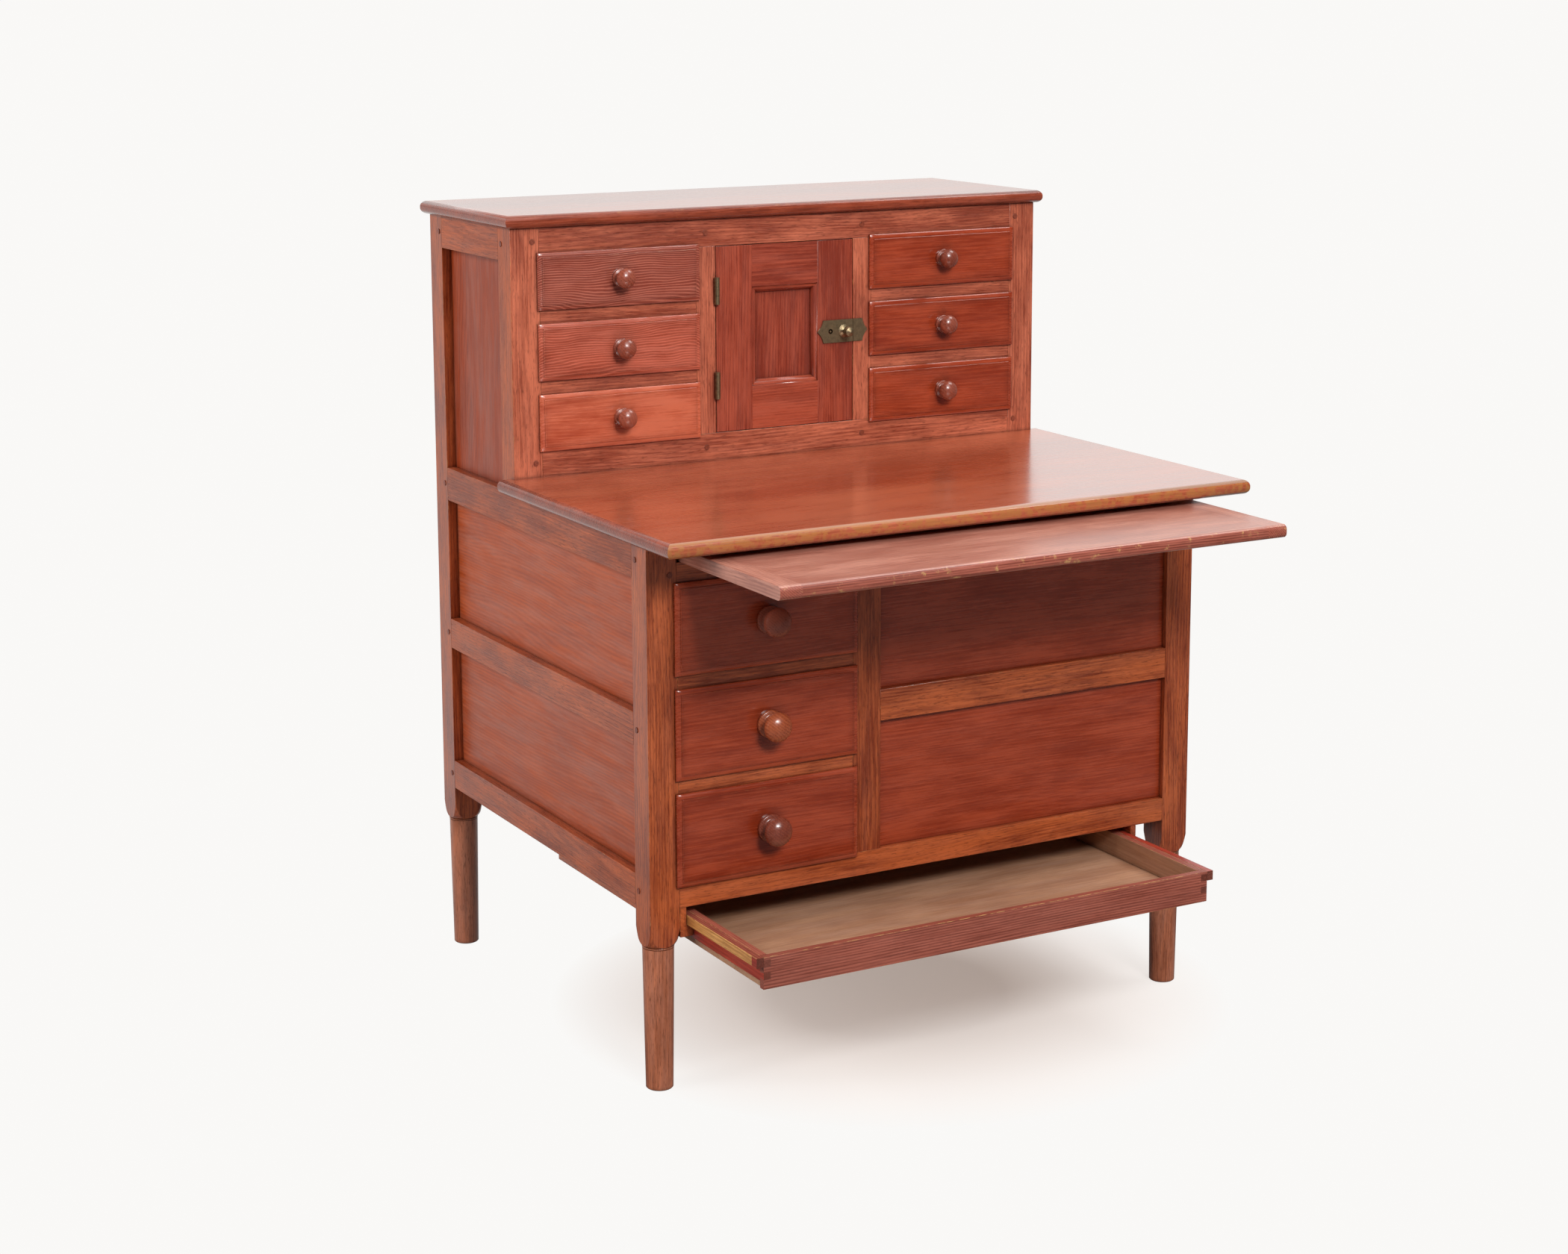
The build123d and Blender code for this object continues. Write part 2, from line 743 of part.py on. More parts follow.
def bottom_tray():
    """The dovetailed tray hung under the case: its four boards, its runner strips and its bottom.

    The front board reaches down over the bottom, which is nailed up under the other three.
    """
    x = (tray_x, tray_x + tray_width)
    y = (tray_front, tray_front + tray_length)
    z = (tray_base, tray_top)
    sides = []
    for wall_x in ((x[0], x[0] + tray_wall), (x[1] - tray_wall, x[1])):
        board = block(wall_x, (y[0] + tray_wall, y[1] - tray_wall), z)
        front_tails = tails(wall_x, z, tray_tails, y[0] + tray_wall, y[0])
        rear_tails = tails(wall_x, z, tray_tails, y[1] - tray_wall, y[1])
        sides.append(joined(board, *front_tails, *rear_tails))
    underside = tray_base - tray_bottom_thickness
    ends = [
        block(x, (y[0], y[0] + tray_wall), (underside, tray_top)),
        block(x, (y[1] - tray_wall, y[1]), z),
    ]
    ends = [cut(end, sides) for end in ends]
    strip_z = (tray_top - strip_height, tray_top)
    strips = [block((x[0] - strip_width, x[0]), y, strip_z), block((x[1], x[1] + strip_width), y, strip_z)]
    inset = tray_bottom_inset
    bottom = block(
        (x[0] + inset, x[1] - inset), (y[0] + tray_wall, y[1] - inset), (underside, tray_base),
    )
    return [*ends, *sides], strips, bottom


def tray_hangers():
    """The two hangers: webs from the front rail to the back, with lips under the tray's strips in front."""
    top, lip_top = case_floor, tray_top - strip_height - running_gap
    hangers = []
    for side, outer in ((1, tray_x - strip_width), (-1, tray_x + tray_width + strip_width)):
        web = sorted((outer - side * (running_gap + hanger_web), outer - side * running_gap))
        lip_edge = outer + side * (strip_width - hanger_lip_room)
        lip = sorted((outer - side * (running_gap + hanger_web), lip_edge))
        hangers.append(joined(
            block(web, (0, case_depth), (lip_top - hanger_web_drop, top)),
            block(lip, (0, hanger_lip_length), (lip_top - hanger_lip, lip_top)),
        ))
    return hangers


# ---------------------------------------------------------------- cupboard door
def rail_region(x, inner, outer):
    """The door rail's share of the frame: square to the moulding, then mitred with it."""
    out = door_moulding if outer > inner else -door_moulding
    outline = Polyline(
        (x[0] - door_moulding, outer), (x[0] - door_moulding, inner + out), (x[0], inner),
        (x[1], inner), (x[1] + door_moulding, inner + out), (x[1] + door_moulding, outer), close=True,
    )
    face = Plane(origin=(0, gallery_y, 0), x_dir=(1, 0, 0), z_dir=(0, -1, 0)) * make_face(outline)
    return extrude(face, 2 * door_thickness, both=True)


def door():
    """The door's two stiles and two rails, moulded round the hole, and its panel."""
    y = (gallery_y, gallery_y + door_thickness)
    hole_x = (door_x[0] + door_stile, door_x[1] - door_stile)
    hole_z = (door_z[0] + door_bottom_rail, door_z[1] - door_top_rail)
    panel_y = (y[0] + door_panel_recess, y[0] + door_panel_recess + door_panel_thickness)
    sheet, slot = (
        block((hole_x[0] - reach, hole_x[1] + reach), panel_y, (hole_z[0] - reach, hole_z[1] + reach))
        for reach in (panel_tongue, panel_tongue + panel_room)
    )
    frame = cut(block(door_x, y, door_z), [block(hole_x, y, hole_z), slot])
    section = mould_section(door_moulding, door_moulding_depth, door_moulding_step)
    length = door_z[1] - door_z[0]
    middle_x, middle_z = (hole_x[0] + hole_x[1]) / 2, (hole_z[0] + hole_z[1]) / 2

    tenon_y = (y[0] + tenon_face, y[0] + tenon_face + tenon_thickness)
    rails = []
    for inner, outer in ((hole_z[0], door_z[0]), (hole_z[1], door_z[1])):
        up = (outer - inner) / abs(outer - inner)
        planed = mould_cutter(section, length, (middle_x, y[0], inner), (0, 0, up))
        tenon_z = sorted((inner + up * (door_moulding + tenon_shoulder), outer - up * tenon_shoulder))
        shoulders = (hole_x[0] - door_moulding, hole_x[1] + door_moulding)
        tenons = [
            block((shoulders[0] - door_tenon, shoulders[0]), tenon_y, tenon_z),
            block((shoulders[1], shoulders[1] + door_tenon), tenon_y, tenon_z),
        ]
        rails.append(joined((frame & rail_region(hole_x, inner, outer)) - planed, *tenons))

    upright = frame
    for inner, outer in ((hole_z[0], door_z[0]), (hole_z[1], door_z[1])):
        upright = upright - rail_region(hole_x, inner, outer)
    planed = [
        mould_cutter(section, 2 * length, (edge, y[0], middle_z), (way, 0, 0))
        for edge, way in zip(hole_x, (-1, 1))
    ]
    return cut(upright, [*planed, *rails]).solids(), rails, sheet


def upright_cylinder(radius, z, place=hinge_axis):
    """A round bar on the hinge's axis."""
    return Pos(*place, (z[0] + z[1]) / 2) * Cylinder(radius, z[1] - z[0])


def hinge(height):
    """One butt hinge: the case leaf with the outer knuckles, the door leaf with the middle one, the pin."""
    z = (height - hinge_length / 2, height + hinge_length / 2)
    knuckle = hinge_length * knuckle_share
    middle = (z[0] + knuckle, z[1] - knuckle)
    outers = [(z[0], middle[0] - knuckle_gap), (middle[1] + knuckle_gap, z[1])]
    leaf_y = (gallery_y + barrel_clear, gallery_y + hinge_leaf_depth)
    case_x = (cupboard_x[0] - hinge_leaf_thickness, cupboard_x[0])
    leaf_x = (door_x[0], door_x[0] + hinge_leaf_thickness)
    bore = upright_cylinder(pin_radius + pin_clearance, z)

    def knuckle_with_web(x, span):
        """A knuckle and the piece of leaf that runs back from it into the joint."""
        web = block(x, (hinge_axis[1], leaf_y[0]), span)
        return joined(upright_cylinder(barrel_radius, span), web)

    case_leaf = block(case_x, leaf_y, z)
    case_leaf = joined(case_leaf, *(knuckle_with_web(case_x, span) for span in outers)) - bore
    door_leaf = joined(block(leaf_x, leaf_y, z), knuckle_with_web(leaf_x, middle)) - bore
    return case_leaf, door_leaf, upright_cylinder(pin_radius, z)


# ---------------------------------------------------------------- latch
def bored_bar(radius, y, x=spindle_x, z=latch_height):
    """A round bar or bore through the door, along Y."""
    return Pos(x, (y[0] + y[1]) / 2, z) * Rot(90, 0, 0) * Cylinder(radius, y[1] - y[0])


def plate_outline(length, height, point, mirrored=False):
    """A small plate with one square end at x = 0 and one shaped end towards -X."""
    half = height / 2
    outline = make_face([
        Polyline((-(length - point), half), (0, half), (0, -half), (-(length - point), -half)),
        ThreePointArc((-(length - point), -half), (-(length - 0.65 * point), -0.45 * half), (-length, 0)),
        ThreePointArc((-length, 0), (-(length - 0.65 * point), 0.45 * half), (-(length - point), half)),
    ])
    return outline.mirror(Plane.YZ) if mirrored else outline


def lock_case():
    """The latch's face plate with the open-backed bolt case behind it, let into the door's stile."""
    outline = plate_outline(plate_length, plate_height, plate_point)
    plate = Pos(door_x[1], gallery_y, latch_height) * Rot(90, 0, 0) * extrude(outline, plate_thickness)
    x = (door_x[1] - lock_case_length, door_x[1])
    y = (gallery_y, gallery_y + lock_case_depth)
    z = (latch_height - lock_case_height / 2, latch_height + lock_case_height / 2)
    wall = lock_case_wall
    shell = block(x, y, z)
    room = block((x[0] + wall, x[1] - wall), y, (z[0] + wall, z[1] - wall))
    bolt_way = block(
        (x[1] - wall, x[1]), (bolt_y - running_gap, bolt_y + bolt_thickness + running_gap),
        (bolt_z[0] - running_gap, bolt_z[1] + running_gap),
    )
    whole = cut(joined(plate, shell), [room, bolt_way])
    bore = bored_bar(spindle_radius + spindle_clearance, (gallery_y - 2 * plate_thickness, y[1]))
    plate_y = (gallery_y - 2 * plate_thickness, gallery_y)
    keyhole = bored_bar(keyhole_radius, plate_y, door_x[1] - keyhole_inset)
    return cut(whole, [bore, keyhole]), shell


def key_pin():
    """The fixed pin in the middle of the keyhole, that a pipe key turns on."""
    wall_y = gallery_y + lock_case_depth
    return bored_bar(key_pin_radius, (gallery_y - plate_thickness, wall_y), door_x[1] - keyhole_inset)


def latch_knob():
    """The turn knob with its rosette, the spindle through the plate, and the cam that drives the bolt."""
    face = gallery_y - plate_thickness - running_gap
    out = latch_knob_projection
    seat, neck, head = rosette_thickness, out - 2 * latch_knob_radius, latch_knob_radius
    outline = Polyline(
        (0, 0), (rosette_radius, 0), (latch_neck_radius, -seat), (latch_neck_radius, -neck),
        (head, -neck - 0.7 * head), (0.85 * head, -neck - 1.6 * head), (0, -out), close=True,
    )
    turned = Pos(spindle_x, face, latch_height) * revolve(make_face(outline), Axis.Y)
    cam_y = (gallery_y + running_gap, gallery_y + running_gap + cam_thickness)
    spindle = bored_bar(spindle_radius, (face, cam_y[1]))
    reach = cam_reach + cam_pin_radius
    arm = block((-spindle_radius, spindle_radius), cam_y, (-reach, 0))
    pin = Pos(0, (cam_y[1] + bolt_y + bolt_thickness) / 2, -cam_reach) * Rot(90, 0, 0) * Cylinder(
        cam_pin_radius, bolt_y + bolt_thickness - cam_y[1]
    )
    cam = Pos(spindle_x, 0, latch_height) * Rot(0, cam_half_turn, 0) * joined(arm, pin)
    return joined(turned, spindle, cam)


def latch_bolt():
    """The flat bolt drawn back into the lock case, with the notch that the cam's pin works in."""
    x = (door_x[1] - bolt_length, door_x[1])
    bolt = block(x, (bolt_y, bolt_y + bolt_thickness), bolt_z)
    notch_x = spindle_x - bolt_travel / 2
    half = cam_pin_radius + lock_clearance
    notch_floor = latch_height - cam_reach - cam_pin_radius - lock_clearance
    return bolt - block(
        (notch_x - half, notch_x + half), (bolt_y, bolt_y + bolt_thickness), (notch_floor, bolt_z[1])
    )


def keeper():
    """The keeper: a pointed plate with a lip bent into the joint, and the pocket behind it."""
    outline = plate_outline(keeper_length, plate_height, keeper_point, mirrored=True)
    plate = Pos(cupboard_x[1], gallery_y, latch_height) * Rot(90, 0, 0) * extrude(outline, keeper_thickness)
    z = (latch_height - plate_height / 2, latch_height + plate_height / 2)
    lip = block(
        (cupboard_x[1], cupboard_x[1] + keeper_thickness), (gallery_y, gallery_y + lock_case_depth), z
    )
    window = block(
        (cupboard_x[1], cupboard_x[1] + keeper_pocket),
        (bolt_y - lock_clearance, bolt_y + bolt_thickness + lock_clearance),
        (bolt_z[0] - lock_clearance, bolt_z[1] + lock_clearance),
    )
    return joined(plate, lip) - window, window


# ---------------------------------------------------------------- pegs
def wall_pegs():
    """Pegs through the frame's joints, seen on the legs' and the rails' faces."""
    near, far = leg_size - peg_inset, right_leg_x + peg_inset
    spots = [front_wall * peg(u, front_opening_top + front_top_rail / 2) for u in (near, far)]
    face_z = (worktop_z + gallery_bottom_rail / 2, gallery_z - gallery_top_rail / 2)
    stile_u = stile_x + gallery_stile / 2
    for z in face_z:
        spots += [gallery_wall * peg(u, z) for u in (near, far, stile_u, case_width - stile_u)]
    side_z = (
        case_floor + side_bottom_rail / 2,
        side_mid_rail_z + side_mid_rail / 2,
        carcass_top - side_top_rail / 2,
    )
    top_z = gallery_z - gallery_side_rail / 2
    left_far = rear_leg_y + peg_inset
    spots += [left_wall * peg(u, z) for u in (near, left_far) for z in side_z]
    spots += [left_wall * peg(u, top_z) for u in (near, case_depth - post_back + peg_inset)]
    rail_z = (z - front_drawer_rail / 2 for z in drawer_levels[1:])
    right_z = (case_floor + front_bottom_rail / 2, *rail_z, side_z[2])
    spots += [right_wall * peg(u, z) for u in (near, left_far) for z in right_z]
    spots += [right_wall * peg(u, top_z) for u in (post_back - peg_inset, left_far)]
    return spots


# ---------------------------------------------------------------- the desk
def build():
    """Make every piece, cut its joints and write it."""
    os.makedirs("parts", exist_ok=True)

    front_rails, mid, dividers, front_panels, front_slots = front_frame()
    left_rails, left_panels, left_slots = left_frame()
    right_rails = right_frame()
    back_rails, muntins, back_panels, back_slots = back_frame()
    gallery_rails, gallery_stiles, gallery_short = gallery_front()
    post, side_rail, side_sheet, side_slot = gallery_side()
    posts, side_rails = both_sides(post), both_sides(side_rail)
    side_sheets, side_slots = both_sides(side_sheet), both_sides(side_slot)
    pegs = wall_pegs()

    slots = [*front_slots, *left_slots, *back_slots, *side_slots]
    long_rails = [*front_rails, *left_rails, *right_rails, *back_rails, *gallery_rails, *side_rails]
    leg_guests = [*long_rails, *dividers, *slots, *pegs]

    height = {True: carcass_top, False: gallery_z}
    legs = {
        (left, front): cut(at_corner(turned_leg(height[front]), left, front), leg_guests)
        for left in (True, False)
        for front in (True, False)
    }
    write("front_legs", legs[True, True], legs[False, True])
    write("rear_legs", legs[True, False], legs[False, False])

    write("front_rails", *(cut(piece, [mid, *front_slots, *pegs]) for piece in front_rails))
    write("front_mid_stile", cut(mid, [*dividers, *front_slots]))
    write("front_divider_rails", *(cut(piece, [*front_slots, *pegs]) for piece in dividers))
    write("front_panels", *front_panels)
    write("left_side_rails", *(cut(piece, [*left_slots, *side_slots, *pegs]) for piece in left_rails))
    write("left_side_panels", *left_panels)
    write("right_side_rails", *(cut(piece, [*side_slots, *pegs]) for piece in right_rails))
    write("back_frame", *(cut(piece, [*muntins, *back_slots]) for piece in back_rails),
          *(cut(piece, back_slots) for piece in muntins))
    write("back_panels", *back_panels)

    write("worktop", worktop())
    write("gallery_posts", *(cut(piece, [*gallery_rails, *gallery_short, *side_rails, *side_slots, *pegs])
                             for piece in posts))
    write("gallery_rails", *(cut(piece, [*gallery_stiles, *pegs]) for piece in gallery_rails),
          *gallery_short)

    plate, window = keeper()
    case_leaves, door_leaves, pins = zip(*(hinge(z) for z in hinge_heights))
    guests = [*gallery_short, *case_leaves, plate, window, *pegs]
    write("gallery_stiles", *(cut(piece, guests) for piece in gallery_stiles))
    write("gallery_side_rails", *(cut(piece, [*side_slots, *pegs]) for piece in side_rails))
    write("gallery_side_panels", *side_sheets)
    partitions, *boards = gallery_inside()
    write("gallery_inside", *partitions, *boards)
    write("gallery_top", gallery_top())
    write("pegs", *pegs)

    partition_span = (case_partition_x, case_partition_x + case_partition_thickness)
    partition_y = (frame_thickness, back_inside)
    write("case_partition", block(partition_span, partition_y, (case_floor, slide_ledge_z)))
    bays = drawer_bays()
    runners = []
    for bay in bays:
        runners += [bay.place * runner(bay, bay.left_room, -1), bay.place * runner(bay, bay.right_room, 1)]
        front, box = drawer(bay)
        write(f"{bay.name}_front", *(bay.place * piece for piece in front))
        write(f"{bay.name}_box", *(bay.place * piece for piece in box))
    write("drawer_runners", *runners)

    write("work_slide", *work_slide())
    write("slide_guides", *slide_guides())
    boards, strips, bottom = bottom_tray()
    write("tray_frame", *boards, *strips)
    write("tray_bottom", bottom)
    write("tray_hangers", *tray_hangers())

    stiles, rails, sheet = door()
    case, pocket = lock_case()
    write("door_frame", *(cut(piece, [*door_leaves, pocket]) for piece in (*stiles, *rails)))
    write("door_panel", sheet)
    write("hinge_case_leaves", *case_leaves)
    write("hinge_door_leaves", *door_leaves)
    write("hinge_pins", *pins)
    write("lock_case", case, key_pin())
    write("latch_knob", latch_knob())
    write("latch_bolt", latch_bolt())
    write("keeper", plate)


build()
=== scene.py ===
import logging
from dataclasses import dataclass, field, replace
from enum import Enum
from math import atan2, cos, pi, radians, sin, sqrt
from random import Random
from typing import Callable, Collection, Optional, Sequence

import bmesh
import bpy
from mathutils import Euler, Matrix, Vector


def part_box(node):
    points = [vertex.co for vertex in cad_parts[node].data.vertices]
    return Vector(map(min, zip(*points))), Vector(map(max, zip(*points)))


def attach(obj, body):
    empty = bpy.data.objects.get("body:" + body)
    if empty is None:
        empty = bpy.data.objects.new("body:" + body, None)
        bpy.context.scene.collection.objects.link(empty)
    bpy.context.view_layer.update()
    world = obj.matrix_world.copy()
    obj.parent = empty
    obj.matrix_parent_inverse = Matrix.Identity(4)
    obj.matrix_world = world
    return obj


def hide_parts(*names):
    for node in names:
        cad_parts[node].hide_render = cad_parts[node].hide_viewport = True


# Shaker sewing desk: the looks of its joinery, turnings and brass. All sizes are in metres.
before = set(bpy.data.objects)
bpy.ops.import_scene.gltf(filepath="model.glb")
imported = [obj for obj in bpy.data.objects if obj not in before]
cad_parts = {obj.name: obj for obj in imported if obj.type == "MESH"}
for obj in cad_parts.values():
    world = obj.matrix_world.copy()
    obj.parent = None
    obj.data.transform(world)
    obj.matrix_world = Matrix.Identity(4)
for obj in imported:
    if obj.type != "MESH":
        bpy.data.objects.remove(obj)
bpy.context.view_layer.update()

log = logging.getLogger("sewing_desk")
MM = 0.001
TOUCHING = 0.002 * MM  # corners nearer than this are one corner
CUT_PRECISION = 1e-7
FLAT_ANGLE = radians(0.5)  # faces within this angle of each other make one flat
ARRIS_ANGLE = radians(40)  # blunter edges aren't arrises
TURNED_APART = 0.001  # radians between two faces that don't lie on each other
SQUARE_ON = 0.9999  # how much of its normal a face square to an axis has along that axis
SMALL_FACE = (6 * MM) ** 2
PATTERN_REACH = 4.0  # a board's pattern is shifted by at most this, in metres
Colour = tuple[float, float, float]


class Grain(Enum):
    """The axis that a board's grain runs along."""

    X = 0
    Y = 1
    Z = 2

    def spread(self, along: float, across: float) -> list[float]:
        """A vector with one number on the grain's axis and another on the other two."""
        return [along if axis == self.value else across for axis in range(3)]


# ------------------------------------------------------------------------------ finishes
@dataclass(frozen=True)
class Noise:
    """How fine a noise is, and which stretch of its values is spread out from 0 to 1."""

    detail: float
    roughness: float
    shown: Optional[tuple[float, float]] = None
    scale: float = 1.0
    distortion: float = 0.0


FIGURE = Noise(2.5, 0.45, distortion=0.15)
FIBRES = Noise(4.0, 0.62, shown=(0.34, 0.66))
PORES = Noise(2.0, 0.60, shown=(0.56, 0.67))
CLOUDS = Noise(4.0, 0.62, shown=(0.33, 0.67))
# Patches of painted sheen, standing in for the polish's patchy reflection.
SHEEN_PATCHES = Noise(5.0, 0.72, shown=(0.42, 0.68))
# Patchiness of the painted shade and dirt at borders and round the knob.
SHADE_AND_GRIME_PATCHES = Noise(4.0, 0.65, shown=(0.30, 0.62), scale=70.0)
CHIPS = Noise(5.0, 0.68, scale=95.0)
TARNISH_CLOUDS = Noise(5.0, 0.62, scale=160.0)
TARNISH_SPOTS = Noise(3.0, 0.70, shown=(0.55, 0.70), scale=900.0)


class Shader:
    """A material's node tree, with short ways to add and join its nodes."""

    def __init__(self, name: str) -> None:
        """Start an empty material.

        Args:
            name: The material's name.
        """
        self.material = bpy.data.materials.new(name)
        self.material.use_nodes = True
        self.tree = self.material.node_tree
        self.tree.nodes.clear()
        self.surface = self.add("ShaderNodeBsdfPrincipled")
        self.output = self.add("ShaderNodeOutputMaterial")
        self.join(self.surface.outputs["BSDF"], self.output.inputs["Surface"])

    @classmethod
    def of_tree(cls, tree: bpy.types.NodeTree) -> "Shader":
        """Use the same ways of adding and joining nodes in a tree of another kind.

        Args:
            tree: The tree; it is emptied.

        Returns:
            A shader without a surface.
        """
        shader = cls.__new__(cls)
        shader.tree = tree
        tree.nodes.clear()
        return shader

    def add(self, kind: str, **settings: object) -> bpy.types.Node:
        """Add a node and set its own properties.

        Args:
            kind: The node's type.
            settings: Its properties.

        Returns:
            The node.
        """
        node = self.tree.nodes.new(kind)
        for key, value in settings.items():
            setattr(node, key, value)
        return node

    def join(self, source: object, target: bpy.types.NodeSocket) -> None:
        """Link a socket to another, or write a plain value into it.

        Args:
            source: The socket or the value to be read.
            target: The socket that reads it.
        """
        if isinstance(source, bpy.types.NodeSocket):
            self.tree.links.new(source, target)
        else:
            target.default_value = source

    def spot(self) -> bpy.types.NodeSocket:
        """The place on the piece, in Object coordinates."""
        return self.add("ShaderNodeTexCoord").outputs["Object"]

    def attribute(self, name: str, output: str = "Fac") -> bpy.types.NodeSocket:
        """One of the mesh's own attributes."""
        return self.add("ShaderNodeAttribute", attribute_name=name).outputs[output]

    def math(self, operation: str, *values: object) -> bpy.types.NodeSocket:
        """Reckon with numbers.

        Args:
            operation: What a Math node does with them.
            values: The numbers, or sockets that give them.

        Returns:
            The result's socket.
        """
        node = self.add("ShaderNodeMath", operation=operation)
        for socket, value in zip(node.inputs, values):
            self.join(value, socket)
        return node.outputs[0]

    def vector(self, operation: str, *values: object) -> bpy.types.NodeSocket:
        """Reckon with vectors.

        Args:
            operation: What a Vector Math node does with them.
            values: The vectors, or sockets that give them.

        Returns:
            The result's socket: a number for DISTANCE and DOT_PRODUCT, otherwise a vector.
        """
        node = self.add("ShaderNodeVectorMath", operation=operation)
        for socket, value in zip(node.inputs, values):
            self.join(value, socket)
        return node.outputs["Value" if operation in ("DISTANCE", "DOT_PRODUCT") else "Vector"]

    def axis(self, value: object, index: int) -> bpy.types.NodeSocket:
        """Take one component of a vector.

        Args:
            value: The vector.
            index: 0, 1 or 2, for X, Y or Z.

        Returns:
            The component.
        """
        node = self.add("ShaderNodeSeparateXYZ")
        self.join(value, node.inputs[0])
        return node.outputs[index]

    def span(self, value: object, low: float, high: float, to_low: float = 0.0,
             to_high: float = 1.0) -> bpy.types.NodeSocket:
        """Map one stretch of a value onto another.

        Args:
            value: The value.
            low: The stretch's start.
            high: The stretch's end.
            to_low: What the start becomes.
            to_high: What the end becomes.

        Returns:
            The mapped value, clamped to its new stretch.
        """
        node = self.add("ShaderNodeMapRange")
        for socket, number in zip(node.inputs, (value, low, high, to_low, to_high)):
            self.join(number, socket)
        return node.outputs[0]

    def blend(self, share: object, first: object, second: object) -> bpy.types.NodeSocket:
        """Mix two colours.

        Args:
            share: The second colour's share.
            first: The first colour.
            second: The second colour.

        Returns:
            The mixed colour.
        """
        node = self.add("ShaderNodeMix", data_type="RGBA")
        inputs = {socket.identifier: socket for socket in node.inputs}
        self.join(share, inputs["Factor_Float"])
        self.join(first, inputs["A_Color"])
        self.join(second, inputs["B_Color"])
        return next(socket for socket in node.outputs if socket.identifier == "Result_Color")

    def noise(self, kind: Noise, place: object) -> bpy.types.NodeSocket:
        """Draw a noise.

        Args:
            kind: How fine it is, and which stretch of it shows.
            place: The coordinates that it is drawn in.

        Returns:
            The noise, from 0 to 1.
        """
        node = self.add("ShaderNodeTexNoise")
        self.join(place, node.inputs["Vector"])
        for socket in ("Scale", "Detail", "Roughness", "Distortion"):
            node.inputs[socket].default_value = getattr(kind, socket.lower())
        return self.span(node.outputs[0], *kind.shown) if kind.shown else node.outputs[0]

    def bump(self, height: object, depth: float = 1.0) -> None:
        """Raise the surface.

        Args:
            height: How high each place is.
            depth: A factor that brings the height to metres.
        """
        node = self.add("ShaderNodeBump")
        node.inputs["Strength"].default_value = 1.0
        node.inputs["Distance"].default_value = depth
        self.join(height, node.inputs["Height"])
        self.join(node.outputs["Normal"], self.surface.inputs["Normal"])


def rgba(colour: Colour, shade: float = 1.0) -> tuple[float, float, float, float]:
    """A colour with full alpha, which a shade below 1 makes darker."""
    return (*(shade * part for part in colour), 1.0)


